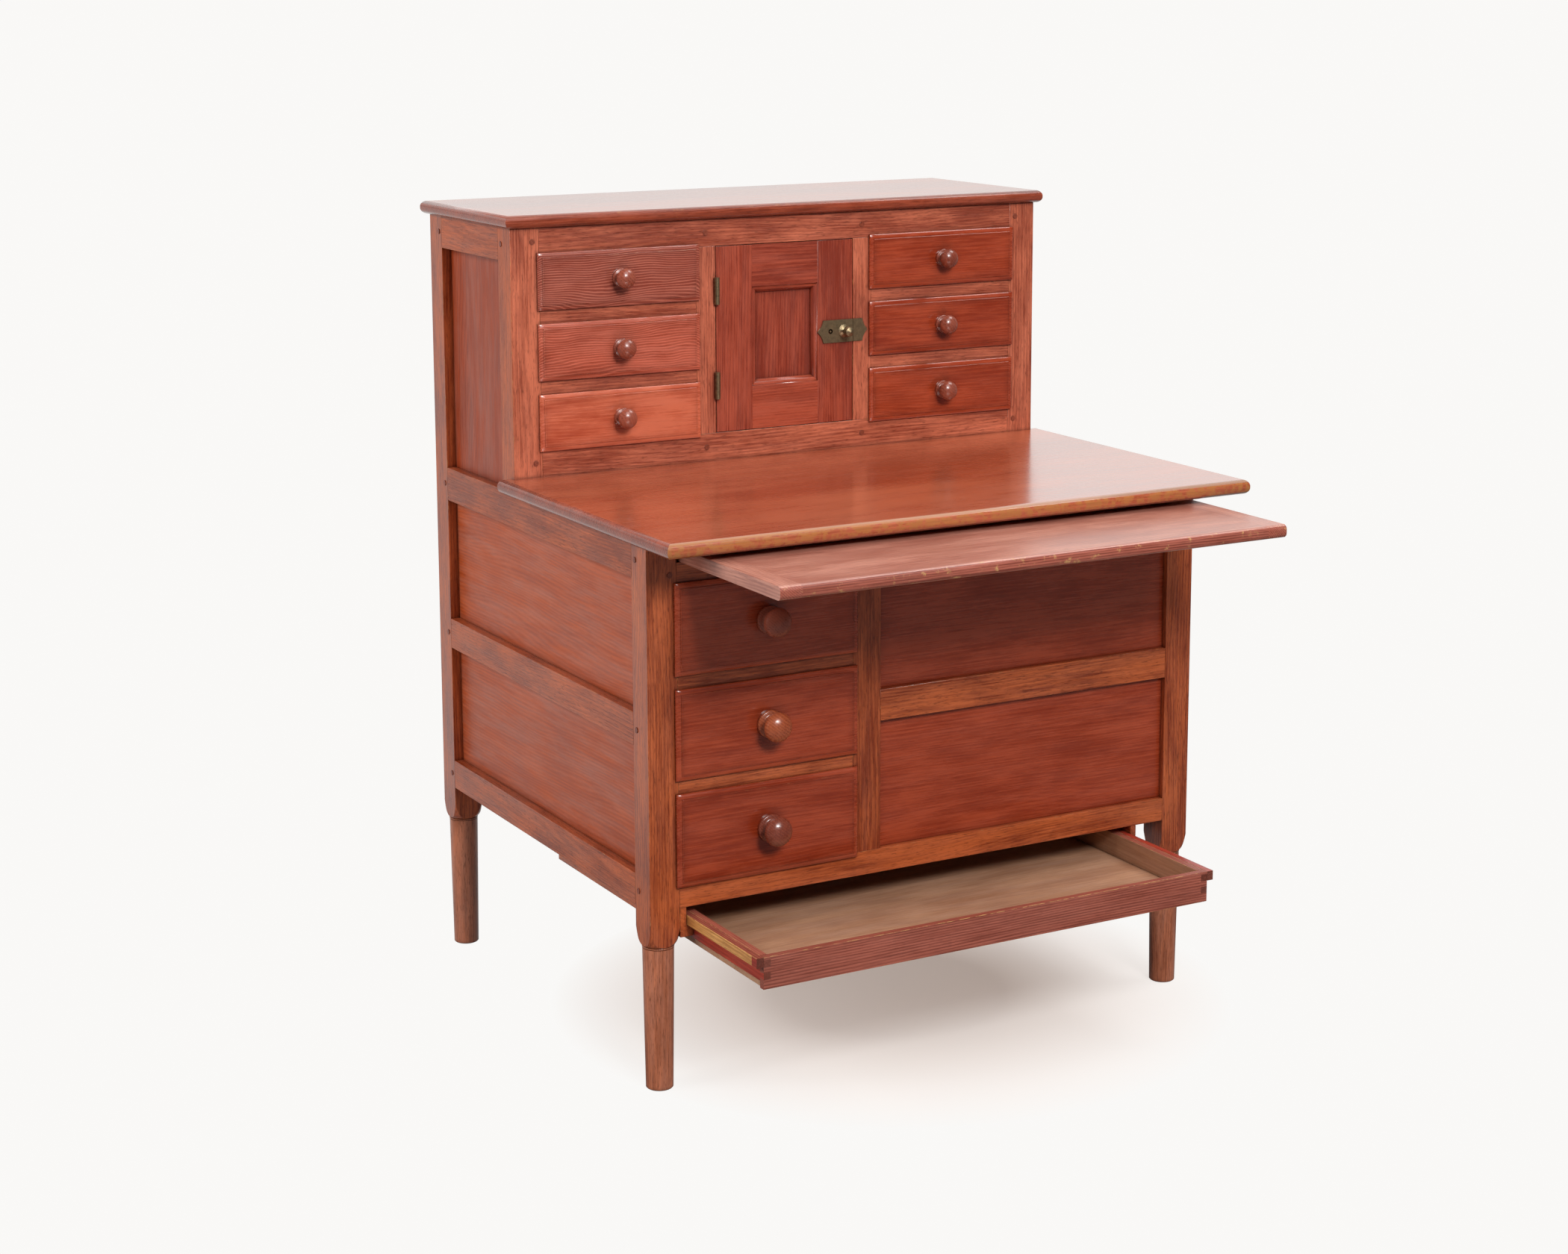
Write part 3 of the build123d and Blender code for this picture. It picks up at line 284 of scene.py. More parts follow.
@dataclass(frozen=True)
class WoodFinish:
    """A stained and shellacked wood, drawn on the grain axis of each board.

    Shares say how far a feature moves the colour from deep (0) to light (1). The pairs of the fibre,
    the figure, the clouds, the flecks and the patches of painted sheen are cells per metre along the grain
    and across it. A line_pitch is growth lines per metre, and a line_swing is how many lines the figure
    carries them aside. The tones are the stretch that is spread out from deep to light, and the shade
    is the part of the deep colour that is left in pores, in dirt and in painted shade.
    """

    name: str
    deep: Colour
    light: Colour
    worn: Colour = (0.50, 0.22, 0.08)
    board_share: float = 0.10
    fibre_share: float = 0.30
    fibre: tuple[float, float] = (16.0, 620.0)
    line_share: float = 0.14
    line_pitch: float = 210.0
    line_swing: float = 16.0
    line_edge: float = 1.0
    figure: tuple[float, float] = (1.6, 11.0)
    cloud_share: float = 0.40
    cloud: tuple[float, float] = (9.0, 34.0)
    tones: tuple[float, float] = (0.26, 0.74)
    fleck_share: float = 0.62
    fleck: tuple[float, float] = (85.0, 1000.0)
    shade: float = 0.38
    # Painted sheen: pale bloom patches mixed into the colour in place of the polish's patchy reflection.
    painted_sheen: float = 0.03
    sheen_bloom: Colour = (0.66, 0.50, 0.44)
    sheen_patch: tuple[float, float] = (7.0, 60.0)
    # How dark the painted shade and dirt at field borders, lips' feet and round the knob get.
    shade_and_grime: float = 0.40
    # A ring of painted knob shadow and grime round the knob's seat.
    shadow_and_grime_halo: float = 0.9
    shadow_and_grime_halo_reach: tuple[float, float] = (16 * MM, 30 * MM)
    # Painted shade in crevices: ambient occlusion within this distance darkens the colour.
    crevice_shade: float = 5.0 * MM
    crevice_shade_share: float = 0.85
    crevice_shade_span: tuple[float, float] = (0.40, 0.92)
    wear: float = 0.8
    chipped: tuple[float, float] = (0.45, 0.56)
    worn_fibre: float = 0.6
    worn_shade: float = 0.55
    gloss: tuple[float, float] = (0.26, 0.40)
    gloss_spread: tuple[float, float] = (0.2, 0.8)
    coat: float = 0.35
    coat_roughness: float = 0.15
    specular: float = 0.45
    fibre_depth: float = 0.015 * MM
    line_depth: float = 0.02 * MM

    def material(self, grain: Grain) -> bpy.types.Material:
        """The finish's material for one grain axis, made once.

        Args:
            grain: The axis that the board's grain runs along.

        Returns:
            The material.
        """
        name = f"{self.name}_{grain.name.lower()}"
        made = bpy.data.materials.get(name)
        return made if made else self._draw(Shader(name), grain)

    def _draw(self, shader: Shader, grain: Grain) -> bpy.types.Material:
        """Lay growth lines, fibres, pores, painted sheen, painted shade with dirt, and wear over each other.

        Args:
            shader: A new material's shader.
            grain: The axis that the board's grain runs along.

        Returns:
            The material.
        """
        spot = shader.spot()
        board = shader.attribute("board", "Vector")
        place = shader.vector("ADD", spot, board)

        def drawn_out(kind: Noise, cells: tuple[float, float]) -> bpy.types.NodeSocket:
            """A noise that runs slowly along the grain and fast across it."""
            return shader.noise(kind, shader.vector("MULTIPLY", place, grain.spread(*cells)))

        fibre = drawn_out(FIBRES, self.fibre)
        fleck = drawn_out(PORES, self.fleck)
        cloud = drawn_out(CLOUDS, self.cloud)
        sheen = drawn_out(SHEEN_PATCHES, self.sheen_patch)
        crosswise = shader.vector("DOT_PRODUCT", place, grain.spread(0.0, 1.0))
        line = self._growth_lines(shader, crosswise, drawn_out(FIGURE, self.figure))

        tone = shader.math("MULTIPLY_ADD", shader.axis(board, 0), self.board_share / PATTERN_REACH, 0.5)
        for feature, share in ((fibre, self.fibre_share), (line, self.line_share), (cloud, self.cloud_share)):
            tone = shader.math("MULTIPLY_ADD", feature, share, shader.math("SUBTRACT", tone, share / 2))
        colour = shader.blend(shader.span(tone, *self.tones), rgba(self.deep), rgba(self.light))
        # Mix in the pale patches of painted sheen.
        colour = shader.blend(shader.math("MULTIPLY", sheen, self.painted_sheen), colour, rgba(self.sheen_bloom))
        dark = rgba(self.deep, self.shade)
        colour = shader.blend(shader.math("MULTIPLY", fleck, self.fleck_share), colour, dark)
        # Painted shade in crevices and at borders, a painted shadow round the knob, and dirt.
        colour = shader.blend(self._shaded_and_soiled(shader, spot), colour, dark)
        bare = shader.blend(shader.math("MULTIPLY", fibre, self.worn_fibre), rgba(self.worn),
                            rgba(self.worn, self.worn_shade))
        colour = shader.blend(self._rubbed(shader, place), colour, bare)
        shader.join(colour, shader.surface.inputs["Base Color"])

        mixed = shader.math("MULTIPLY_ADD", fibre, 0.5, shader.math("MULTIPLY", cloud, 0.5))
        gloss = shader.span(mixed, *self.gloss_spread, *self.gloss)
        shader.join(gloss, shader.surface.inputs["Roughness"])
        height = shader.math("MULTIPLY", line, self.line_depth)
        height = shader.math("MULTIPLY_ADD", fibre, self.fibre_depth, height)
        shader.bump(shader.math("MULTIPLY_ADD", fleck, -self.fibre_depth, height))
        shader.surface.inputs["Coat Weight"].default_value = self.coat
        shader.surface.inputs["Coat Roughness"].default_value = self.coat_roughness
        shader.surface.inputs["Specular IOR Level"].default_value = self.specular
        return shader.material

    def _growth_lines(self, shader: Shader, crosswise: bpy.types.NodeSocket,
                      figure: bpy.types.NodeSocket) -> bpy.types.NodeSocket:
        """Lines that follow each other across the board, carried aside by its figure.

        Args:
            shader: The material's shader.
            crosswise: The distance across the board.
            figure: The slow noise that bends the lines.

        Returns:
            How far a place is towards a line's light side, from 0 to 1.
        """
        turns = shader.math("MULTIPLY", crosswise, self.line_pitch)
        turns = shader.math("MULTIPLY_ADD", figure, self.line_swing, turns)
        wave = shader.math("SINE", shader.math("MULTIPLY", turns, 2 * pi))
        return shader.math("POWER", shader.span(wave, -1.0, 1.0), self.line_edge)

    def _shaded_and_soiled(self, shader: Shader, spot: bpy.types.NodeSocket) -> bpy.types.NodeSocket:
        """Darken crevices with painted shade, the corners of a field with painted shade and dirt, and the
        ring round the knob where hands reach with a painted shadow and dirt.

        Args:
            shader: The material's shader.
            spot: The place on the piece.

        Returns:
            How dark the painted shade and dirt make the place, from 0 to 1.
        """
        # Painted shade: ambient occlusion darkens recesses, joints and the feet of lips.
        crevice_shade = shader.add("ShaderNodeAmbientOcclusion", samples=4)
        crevice_shade.inputs["Distance"].default_value = self.crevice_shade
        occluded_shade = shader.span(crevice_shade.outputs["AO"], *self.crevice_shade_span, 1.0, 0.0)
        patchy = shader.noise(SHADE_AND_GRIME_PATCHES, spot)
        # Painted shadow and grime in a ring round the knob.
        away = shader.vector("DISTANCE", spot, shader.attribute("seat", "Vector"))
        shadow_and_grime_halo = shader.math("MULTIPLY", shader.span(away, *self.shadow_and_grime_halo_reach, self.shadow_and_grime_halo, 0.0), patchy)
        # Painted shade and dirt along a field's borders and in the lip's crevices.
        corner = shader.math("MULTIPLY_ADD", patchy, 0.5, 0.5)
        corner = shader.math("MULTIPLY", shader.attribute("shade_and_grime"), corner)
        soft = shader.math("MULTIPLY", shader.math("MAXIMUM", shadow_and_grime_halo, corner), self.shade_and_grime)
        return shader.math("MAXIMUM", soft, shader.math("MULTIPLY", occluded_shade, self.crevice_shade_share))

    def _rubbed(self, shader: Shader, place: bpy.types.NodeSocket) -> bpy.types.NodeSocket:
        """Rub the stain off, in chips that crowd together where an arris is worn.

        Args:
            shader: The material's shader.
            place: The place in the wood's pattern.

        Returns:
            How bare the wood is, from 0 to 1.
        """
        arris = shader.math("SUBTRACT", shader.attribute("arris"), 0.5)
        chips = shader.math("ADD", shader.noise(CHIPS, place), arris)
        return shader.math("MULTIPLY", shader.span(chips, *self.chipped), self.wear)


@dataclass(frozen=True)
class BrassFinish:
    """Old brass that has gone dull and olive, brighter where fingers rub it."""

    name: str = "old_brass"
    tarnish: Colour = (0.17, 0.125, 0.070)
    metal: Colour = (0.40, 0.30, 0.17)
    bright_clouds: tuple[float, float] = (0.35, 0.75)
    smooth_clouds: tuple[float, float] = (0.35, 0.65)
    rubbed_arris: float = 0.8
    spot_share: float = 0.45
    spot_shade: float = 0.4
    roughness: tuple[float, float] = (0.50, 0.34)
    metallic: float = 0.85
    pitting: float = 0.05 * MM

    def material(self) -> bpy.types.Material:
        """The brass's material, made once."""
        made = bpy.data.materials.get(self.name)
        return made if made else self._draw(Shader(self.name))

    def _draw(self, shader: Shader) -> bpy.types.Material:
        """Lay clouds of tarnish and dark spots over the metal.

        Args:
            shader: A new material's shader.

        Returns:
            The material.
        """
        place = shader.spot()
        cloud = shader.noise(TARNISH_CLOUDS, place)
        spots = shader.noise(TARNISH_SPOTS, place)
        arris = shader.math("MULTIPLY", shader.attribute("arris"), self.rubbed_arris)
        bright = shader.math("MAXIMUM", shader.span(cloud, *self.bright_clouds), arris)
        colour = shader.blend(bright, rgba(self.tarnish), rgba(self.metal))
        dark = rgba(self.tarnish, self.spot_shade)
        colour = shader.blend(shader.math("MULTIPLY", spots, self.spot_share), colour, dark)
        shader.join(colour, shader.surface.inputs["Base Color"])
        roughness = shader.span(cloud, *self.smooth_clouds, *self.roughness)
        shader.join(roughness, shader.surface.inputs["Roughness"])
        shader.surface.inputs["Metallic"].default_value = self.metallic
        shader.bump(shader.math("ADD", cloud, spots), self.pitting)
        return shader.material


FRAME_WOOD = WoodFinish("frame_wood", deep=(0.22, 0.034, 0.009), light=(0.53, 0.116, 0.030))
GALLERY_WOOD = WoodFinish("gallery_wood", deep=(0.25, 0.048, 0.024), light=(0.60, 0.160, 0.080))
SIDE_WOOD = WoodFinish(
    "side_wood", deep=(0.25, 0.044, 0.013), light=(0.53, 0.122, 0.042),
    painted_sheen=0.06, coat=0.0, specular=0.4,
)
LEG_WOOD = WoodFinish(
    "leg_wood", deep=(0.28, 0.078, 0.034), light=(0.54, 0.170, 0.080), fleck_share=0.65, painted_sheen=0.10,
)
FACE_WOOD = WoodFinish(
    "face_wood", deep=(0.24, 0.025, 0.006), light=(0.41, 0.062, 0.020), worn=(0.42, 0.14, 0.06),
    board_share=0.12, fibre_share=0.25, fleck_share=0.15, painted_sheen=0.02, shade_and_grime=0.50, wear=0.5,
    gloss=(0.22, 0.32), coat=0.6, coat_roughness=0.11, specular=0.5,
    fibre_depth=0.008 * MM, line_depth=0.012 * MM,
)
GOLDEN_FACE = replace(
    FACE_WOOD, name="golden_face", deep=(0.38, 0.055, 0.022), light=(0.62, 0.145, 0.070),
    worn=(0.50, 0.20, 0.09), board_share=0.10, fibre_share=0.22, line_share=0.12, cloud_share=0.45,
    fleck_share=0.12, painted_sheen=0.03, shade_and_grime=0.40,
)
WAVY_WOOD = WoodFinish(
    "wavy_wood", deep=(0.23, 0.042, 0.024), light=(0.46, 0.128, 0.080), worn=(0.50, 0.24, 0.13),
    board_share=0.08, fibre_share=0.18, line_share=0.55, line_pitch=330.0, line_swing=11.0,
    line_edge=2.6, figure=(7.0, 16.0), cloud_share=0.30, fleck_share=0.10, wear=0.6,
    gloss=(0.24, 0.36), coat=0.6, coat_roughness=0.13, specular=0.5,
    fibre_depth=0.01 * MM, line_depth=0.10 * MM,
)
BRIGHT_WAVY_WOOD = replace(
    WAVY_WOOD, name="bright_wavy_wood", deep=(0.30, 0.050, 0.024), light=(0.60, 0.140, 0.080),
    line_share=0.35,
)
DOOR_WOOD = WoodFinish(
    "door_wood", deep=(0.21, 0.028, 0.013), light=(0.42, 0.076, 0.036), worn=(0.42, 0.14, 0.06),
    board_share=0.20, fibre_share=0.25, line_share=0.16, fleck_share=0.20, wear=0.4,
    gloss=(0.22, 0.34), coat=0.5, coat_roughness=0.13, fibre_depth=0.008 * MM,
)
PANEL_WOOD = WoodFinish(
    "panel_wood", deep=(0.33, 0.050, 0.010), light=(0.50, 0.094, 0.026),
    board_share=0.06, line_share=0.20, cloud_share=0.30, fleck_share=0.12, painted_sheen=0.12, wear=0.3,
    gloss=(0.34, 0.46), coat=0.0, specular=0.4, fibre_depth=0.01 * MM, line_depth=0.015 * MM,
)
TALL_PANEL_WOOD = replace(
    PANEL_WOOD, name="tall_panel_wood", deep=(0.24, 0.032, 0.008), light=(0.40, 0.066, 0.020),
    fleck_share=0.20,
)
TOP_WOOD = WoodFinish(
    "top_wood", deep=(0.27, 0.045, 0.014), light=(0.52, 0.130, 0.054), worn=(0.48, 0.18, 0.05),
    board_share=0.05, fibre_share=0.22, line_share=0.18, cloud_share=0.50, cloud=(2.2, 7.0),
    fleck_share=0.25, wear=0.85, gloss=(0.24, 0.32), coat=1.0, coat_roughness=0.17, specular=0.5,
    fibre_depth=0.004 * MM, line_depth=0.004 * MM,
)
# A darker copy of the top's wood for the rounded edges, a painted shade on faces that turn away from the top.
SHADED_EDGE_WOOD = WoodFinish(
    "shaded_edge_wood", deep=(0.17, 0.026, 0.010), light=(0.33, 0.060, 0.024), worn=(0.42, 0.14, 0.05),
    board_share=0.05, fibre_share=0.40, fleck_share=0.40, wear=0.6,
    gloss=(0.22, 0.32), coat=0.6, coat_roughness=0.12,
    fibre_depth=0.004 * MM, line_depth=0.004 * MM,
)
SLIDE_WOOD = WoodFinish(
    "slide_wood", deep=(0.35, 0.115, 0.078), light=(0.60, 0.260, 0.185), worn=(0.66, 0.40, 0.18),
    board_share=0.25, line_share=0.20, cloud_share=0.35, fleck_share=0.30, wear=0.9,
    gloss=(0.30, 0.42), coat=0.3, coat_roughness=0.25, specular=0.5,
    fibre_depth=0.006 * MM, line_depth=0.006 * MM,
)
TRAY_WOOD = WoodFinish(
    "tray_wood", deep=(0.19, 0.038, 0.022), light=(0.40, 0.105, 0.066), worn=(0.62, 0.34, 0.13),
    fibre_share=0.35, line_share=0.40, line_pitch=300.0, line_swing=6.0, line_edge=0.5,
    figure=(1.5, 12.0), cloud_share=0.20, fleck_share=0.30, wear=0.95,
    gloss=(0.38, 0.52), coat=0.0, line_depth=0.06 * MM,
)
RED_PAINT = WoodFinish(
    "red_paint", deep=(0.26, 0.020, 0.010), light=(0.44, 0.045, 0.022), worn=(0.60, 0.32, 0.14),
    fibre_share=0.35, line_share=0.30, figure=(0.8, 22.0), fleck_share=0.30,
    gloss=(0.32, 0.46), coat=0.1,
)
GOLDEN_STRIP = WoodFinish(
    "golden_strip", deep=(0.46, 0.190, 0.050), light=(0.78, 0.400, 0.130), worn=(0.74, 0.42, 0.16),
    fibre_share=0.50, fleck_share=0.50, gloss=(0.36, 0.50), coat=0.0,
)
END_GRAIN = WoodFinish(
    "end_grain", deep=(0.11, 0.022, 0.012), light=(0.20, 0.046, 0.026),
    fibre=(500.0, 500.0), line_share=0.10, cloud_share=0.20, fleck=(900.0, 900.0),
    gloss=(0.40, 0.50), coat=0.0,
)
BARE_WOOD = WoodFinish(
    "bare_wood", deep=(0.36, 0.175, 0.095), light=(0.52, 0.285, 0.165), worn=(0.52, 0.33, 0.17),
    board_share=0.15, line_share=0.10, fleck_share=0.12, painted_sheen=0.12, wear=0.3,
    gloss=(0.50, 0.66), coat=0.0, specular=0.4, fibre_depth=0.01 * MM, line_depth=0.01 * MM,
)
KNOB_WOOD = WoodFinish(
    "knob_wood", deep=(0.17, 0.032, 0.016), light=(0.32, 0.074, 0.040), worn=(0.30, 0.10, 0.06),
    board_share=0.20, line_share=0.20, cloud_share=0.30, fleck_share=0.12, shade_and_grime=0.0, wear=0.3,
    gloss=(0.26, 0.34), coat=0.4, coat_roughness=0.12, specular=0.5,
    fibre_depth=0.002 * MM, line_depth=0.002 * MM,
)
PALE_KNOB = replace(
    KNOB_WOOD, name="pale_knob", deep=(0.27, 0.052, 0.018), light=(0.44, 0.106, 0.040),
    worn=(0.45, 0.20, 0.10), board_share=0.10, line_share=0.30, fleck_share=0.15,
)
PEG_WOOD = WoodFinish(
    "peg_wood", deep=(0.16, 0.030, 0.014), light=(0.28, 0.060, 0.028),
    wear=0.2, gloss=(0.30, 0.45), coat=0.1,
)
BRASS = BrassFinish()


# ------------------------------------------------------------------------------ shared mesh work
@dataclass(frozen=True)
class Board:
    """The box round one board of a mesh."""

    low: Vector
    high: Vector

    @property
    def grain(self) -> Grain:
        """The grain of a board runs along its longest side."""
        size = self.high - self.low
        return Grain(max(range(3), key=lambda i: size[i]))

    def inset(self, place: Vector, axes: Sequence[int]) -> float:
        """How far a place lies inside the nearest of the board's edges across the given axes."""
        return min(min(place[i] - self.low[i], self.high[i] - place[i]) for i in axes)


FinishRule = Callable[[Board, bmesh.types.BMFace], tuple[WoodFinish, Grain]]


def plain(finish: WoodFinish, grain: Optional[Grain] = None) -> FinishRule:
    """A rule that gives every face one finish, along the board or along a set axis."""
    return lambda board, face: (finish, grain or board.grain)


def everything(bm: bmesh.types.BMesh) -> list:
    """All corners, edges and faces of a mesh."""
    return bm.verts[:] + bm.edges[:] + bm.faces[:]


def join_flats(bm: bmesh.types.BMesh) -> None:
    """Make each flat of a mesh one face."""
    bmesh.ops.dissolve_limit(bm, angle_limit=FLAT_ANGLE, verts=bm.verts, edges=bm.edges)


def across(loop: bmesh.types.BMLoop, beside: Sequence[bmesh.types.BMLoop]) -> bmesh.types.BMFace:
    """The face that bounds the same board on the other side of an edge.

    Args:
        loop: The face's loop along the edge.
        beside: The loops of all faces that meet there, also those of a touching board.

    Returns:
        The first face that is met on a turn through the board's body.
    """
    def along(side: bmesh.types.BMLoop) -> Vector:
        """The direction in which a face's border runs here."""
        return (side.link_loop_next.vert.co - side.vert.co).normalized()

    def inward(side: bmesh.types.BMLoop) -> Vector:
        """The direction from the edge into a face."""
        return side.face.normal.cross(along(side))

    def opening(side: bmesh.types.BMLoop) -> float:
        """Measure the turn through the board's body to another face.

        Args:
            side: The other face's loop.

        Returns:
            The angle, which is a full turn for the face of a touching board.
        """
        way = inward(side)
        angle = atan2(-way.dot(loop.face.normal), way.dot(inward(loop))) % (2 * pi)
        return angle if angle > TURNED_APART else 2 * pi

    facing = [side for side in beside if along(side).dot(along(loop)) < 0]
    return min(facing, key=opening).face if facing else loop.face


def groups_of(faces: Sequence[bmesh.types.BMFace],
              beside: Callable[[bmesh.types.BMFace], Collection[bmesh.types.BMFace]],
              ) -> list[list[bmesh.types.BMFace]]:
    """Sort faces into the groups that hang together.

    Args:
        faces: The faces.
        beside: Gives the faces that a face hangs together with.

    Returns:
        The groups, in the order of the faces' numbers.
    """
    left, groups = set(faces), []
    while left:
        stack, group = [left.pop()], []
        while stack:
            face = stack.pop()
            group.append(face)
            near = left.intersection(beside(face))
            left -= near
            stack.extend(near)
        groups.append(sorted(group, key=lambda face: face.index))
    return sorted(groups, key=lambda group: group[0].index)


def merged_copy(node: str) -> bmesh.types.BMesh:
    """A CAD node's mesh with each board's corners joined and its flats made whole faces.

    Args:
        node: The node's name.

    Returns:
        A new bmesh in the row frame, where touching boards stay apart.
    """
    bm = bmesh.new()
    bm.from_mesh(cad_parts[node].data)
    bm.normal_update()
    bm.verts.index_update()
    bm.faces.index_update()
    same = bmesh.ops.find_doubles(bm, verts=bm.verts, dist=TOUCHING)["targetmap"]
    meeting: dict[frozenset, list[bmesh.types.BMLoop]] = {}
    for face in bm.faces:
        for loop in face.loops:
            ends = frozenset(same.get(vert, vert) for vert in loop.edge.verts)
            meeting.setdefault(ends, []).append(loop)
    linked: dict[bmesh.types.BMFace, set[bmesh.types.BMFace]] = {face: set() for face in bm.faces}
    for loops in meeting.values():
        for loop in loops if len(loops) > 1 else ():
            other = across(loop, loops)
            linked[loop.face].add(other)
            linked[other].add(loop.face)
    for board in groups_of(bm.faces[:], linked.__getitem__):
        corners = sorted({vert for face in board for vert in face.verts}, key=lambda vert: vert.index)
        bmesh.ops.remove_doubles(bm, verts=corners, dist=TOUCHING)
    join_flats(bm)
    return bm


def worn_layer(bm: bmesh.types.BMesh) -> bmesh.types.BMLayerItem:
    """The face layer that says how worn an arris is."""
    return bm.faces.layers.float.get("arris") or bm.faces.layers.float.new("arris")


def ease(bm: bmesh.types.BMesh, width: float, longer_than: float, level: float = 0.42, segments: int = 2,
         chosen: Optional[Callable[[bmesh.types.BMEdge], bool]] = None) -> None:
    """Round the long outer arrises and mark the new faces as rubbed.

    Args:
        bm: The mesh.
        width: How far the rounding reaches on each side.
        longer_than: Shorter edges stay crisp.
        level: How worn the new faces are, from 0 to 1.
        segments: Steps in the rounding.
        chosen: A further test that an edge has to pass.
    """
    mark = worn_layer(bm)
    edges = [
        edge for edge in bm.edges
        if edge.is_manifold and edge.is_convex and edge.calc_face_angle() > ARRIS_ANGLE
        and edge.calc_length() > longer_than and (chosen is None or chosen(edge))
    ]
    if not edges:
        return
    made = bmesh.ops.bevel(
        bm, geom=edges, offset=width, offset_type="OFFSET", segments=segments, profile=0.5,
        affect="EDGES", clamp_overlap=True, material=-1,
    )
    for face in made["faces"]:
        face[mark] = level


def islands(bm: bmesh.types.BMesh) -> list[tuple[Board, list[bmesh.types.BMFace]]]:
    """Find the mesh's boards.

    Args:
        bm: The mesh.

    Returns:
        Each board's box and faces, in a steady order.
    """
    bm.faces.index_update()
    boards = []
    for faces in groups_of(bm.faces[:], lambda face: [f for edge in face.edges for f in edge.link_faces]):
        points = [vert.co for face in faces for vert in face.verts]
        low, high = (Vector([pick(point[i] for point in points) for i in range(3)]) for pick in (min, max))
        boards.append((Board(low, high), faces))
    return sorted(boards, key=lambda pair: tuple(round(v, 4) for v in (*pair[0].low, *pair[0].high)))


def shade_and_soil_fields(bm: bmesh.types.BMesh, covered: float, reach: float = 20 * MM, heavy: float = 0.25,
                light: float = 0.4) -> None:
    """Cut each board's field near its visible borders, and mark how dark it gets there with painted shade and
    dirt.

    Args:
        bm: The mesh.
        covered: How far a frame or moulding covers the board's edge.
        reach: How far the painted shade and dirt reach from the border.
        heavy: The share of the reach in which the painted shade and dirt are heavy.
        light: How dark the heavy share's inner edge is, where the border has 1.
    """
    layer = bm.verts.layers.float.new("shade_and_grime")
    for board, faces in islands(bm):
        size = board.high - board.low
        axes = sorted(range(3), key=lambda i: size[i])[1:]
        borders = {edge for face in faces for edge in face.edges}
        geom: list = list({vert for edge in borders for vert in edge.verts} | borders | set(faces))
        for axis in axes:
            normal = Vector([float(i == axis) for i in range(3)])
            for edge, way in ((board.low[axis] + covered, 1), (board.high[axis] - covered, -1)):
                for step in (0.0, heavy * reach, reach):
                    cut = normal * (edge + way * step)
                    geom = bmesh.ops.bisect_plane(
                        bm, geom=geom, dist=CUT_PRECISION, plane_co=cut, plane_no=normal,
                    )["geom"]
        for vert in (item for item in geom if isinstance(item, bmesh.types.BMVert)):
            share = max(0.0, (board.inset(vert.co, axes) - covered) / reach)
            fading = max(0.0, light * (1.0 - share) / (1.0 - heavy))
            vert[layer] = 1.0 - (1.0 - light) * share / heavy if share < heavy else fading


def made_piece(bm: bmesh.types.BMesh, name: str, body: str, seed: int, rule: FinishRule,
               stands_for: Sequence[str] = (), smooth: float = 32.0,
               planed: Sequence[int] = (0, 1, 2)) -> bpy.types.Object:
    """Finish each board of a mesh and turn it into a piece of the desk.

    Args:
        bm: The mesh, in the row frame; it is freed.
        name: The piece's name.
        body: The CAD body that it moves with.
        seed: Which part of the wood's pattern its boards are cut from.
        rule: The finish and the grain of a face.
        stands_for: The CAD nodes that it replaces.
        smooth: Edges sharper than this many degrees stay crisp.
        planed: The axes across which its broad faces are planed flat.

    Returns:
        The new object.
    """
    bm.normal_update()
    layer = bm.faces.layers.float_vector.new("board")
    draw = Random(seed)
    materials: list[bpy.types.Material] = []
    for board, faces in islands(bm):
        offset = Vector([draw.uniform(-PATTERN_REACH, PATTERN_REACH) for _ in range(3)])
        for face in faces:
            face[layer] = offset
            finish, grain = rule(board, face)
            material = finish.material(grain)
            if material not in materials:
                materials.append(material)
            face.material_index = materials.index(material)
    mesh = bpy.data.meshes.new(name)
    bm.to_mesh(mesh)
    bm.free()
    for material in materials:
        mesh.materials.append(material)
    mesh.shade_smooth()
    mesh.set_sharp_from_angle(angle=radians(smooth))
    for face in mesh.polygons:
        if face.area > SMALL_FACE and any(abs(face.normal[i]) > SQUARE_ON for i in planed):
            face.use_smooth = False
    return placed(bpy.data.objects.new(name, mesh), body, stands_for)


def placed(piece: bpy.types.Object, body: str, stands_for: Sequence[str] = ()) -> bpy.types.Object:
    """Link a piece, say what it moves with and what it stands for, and report it.

    Args:
        piece: The new object.
        body: The CAD body that it moves with.
        stands_for: The CAD nodes that it replaces.

    Returns:
        The same object.
    """
    bpy.context.scene.collection.objects.link(piece)
    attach(piece, body)
    if stands_for:
        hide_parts(*stands_for)
    log.info("%s: %d faces on %s", piece.name, len(piece.data.polygons), body)
    return piece


def restain(node: str, material: bpy.types.Material) -> None:
    """Give a CAD node that stays its material, and report it.

    Args:
        node: The node's name.
        material: The finish's material.
    """
    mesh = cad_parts[node].data
    mesh.materials.clear()
    mesh.materials.append(material)
    log.info("%s: stained %s", node, material.name)


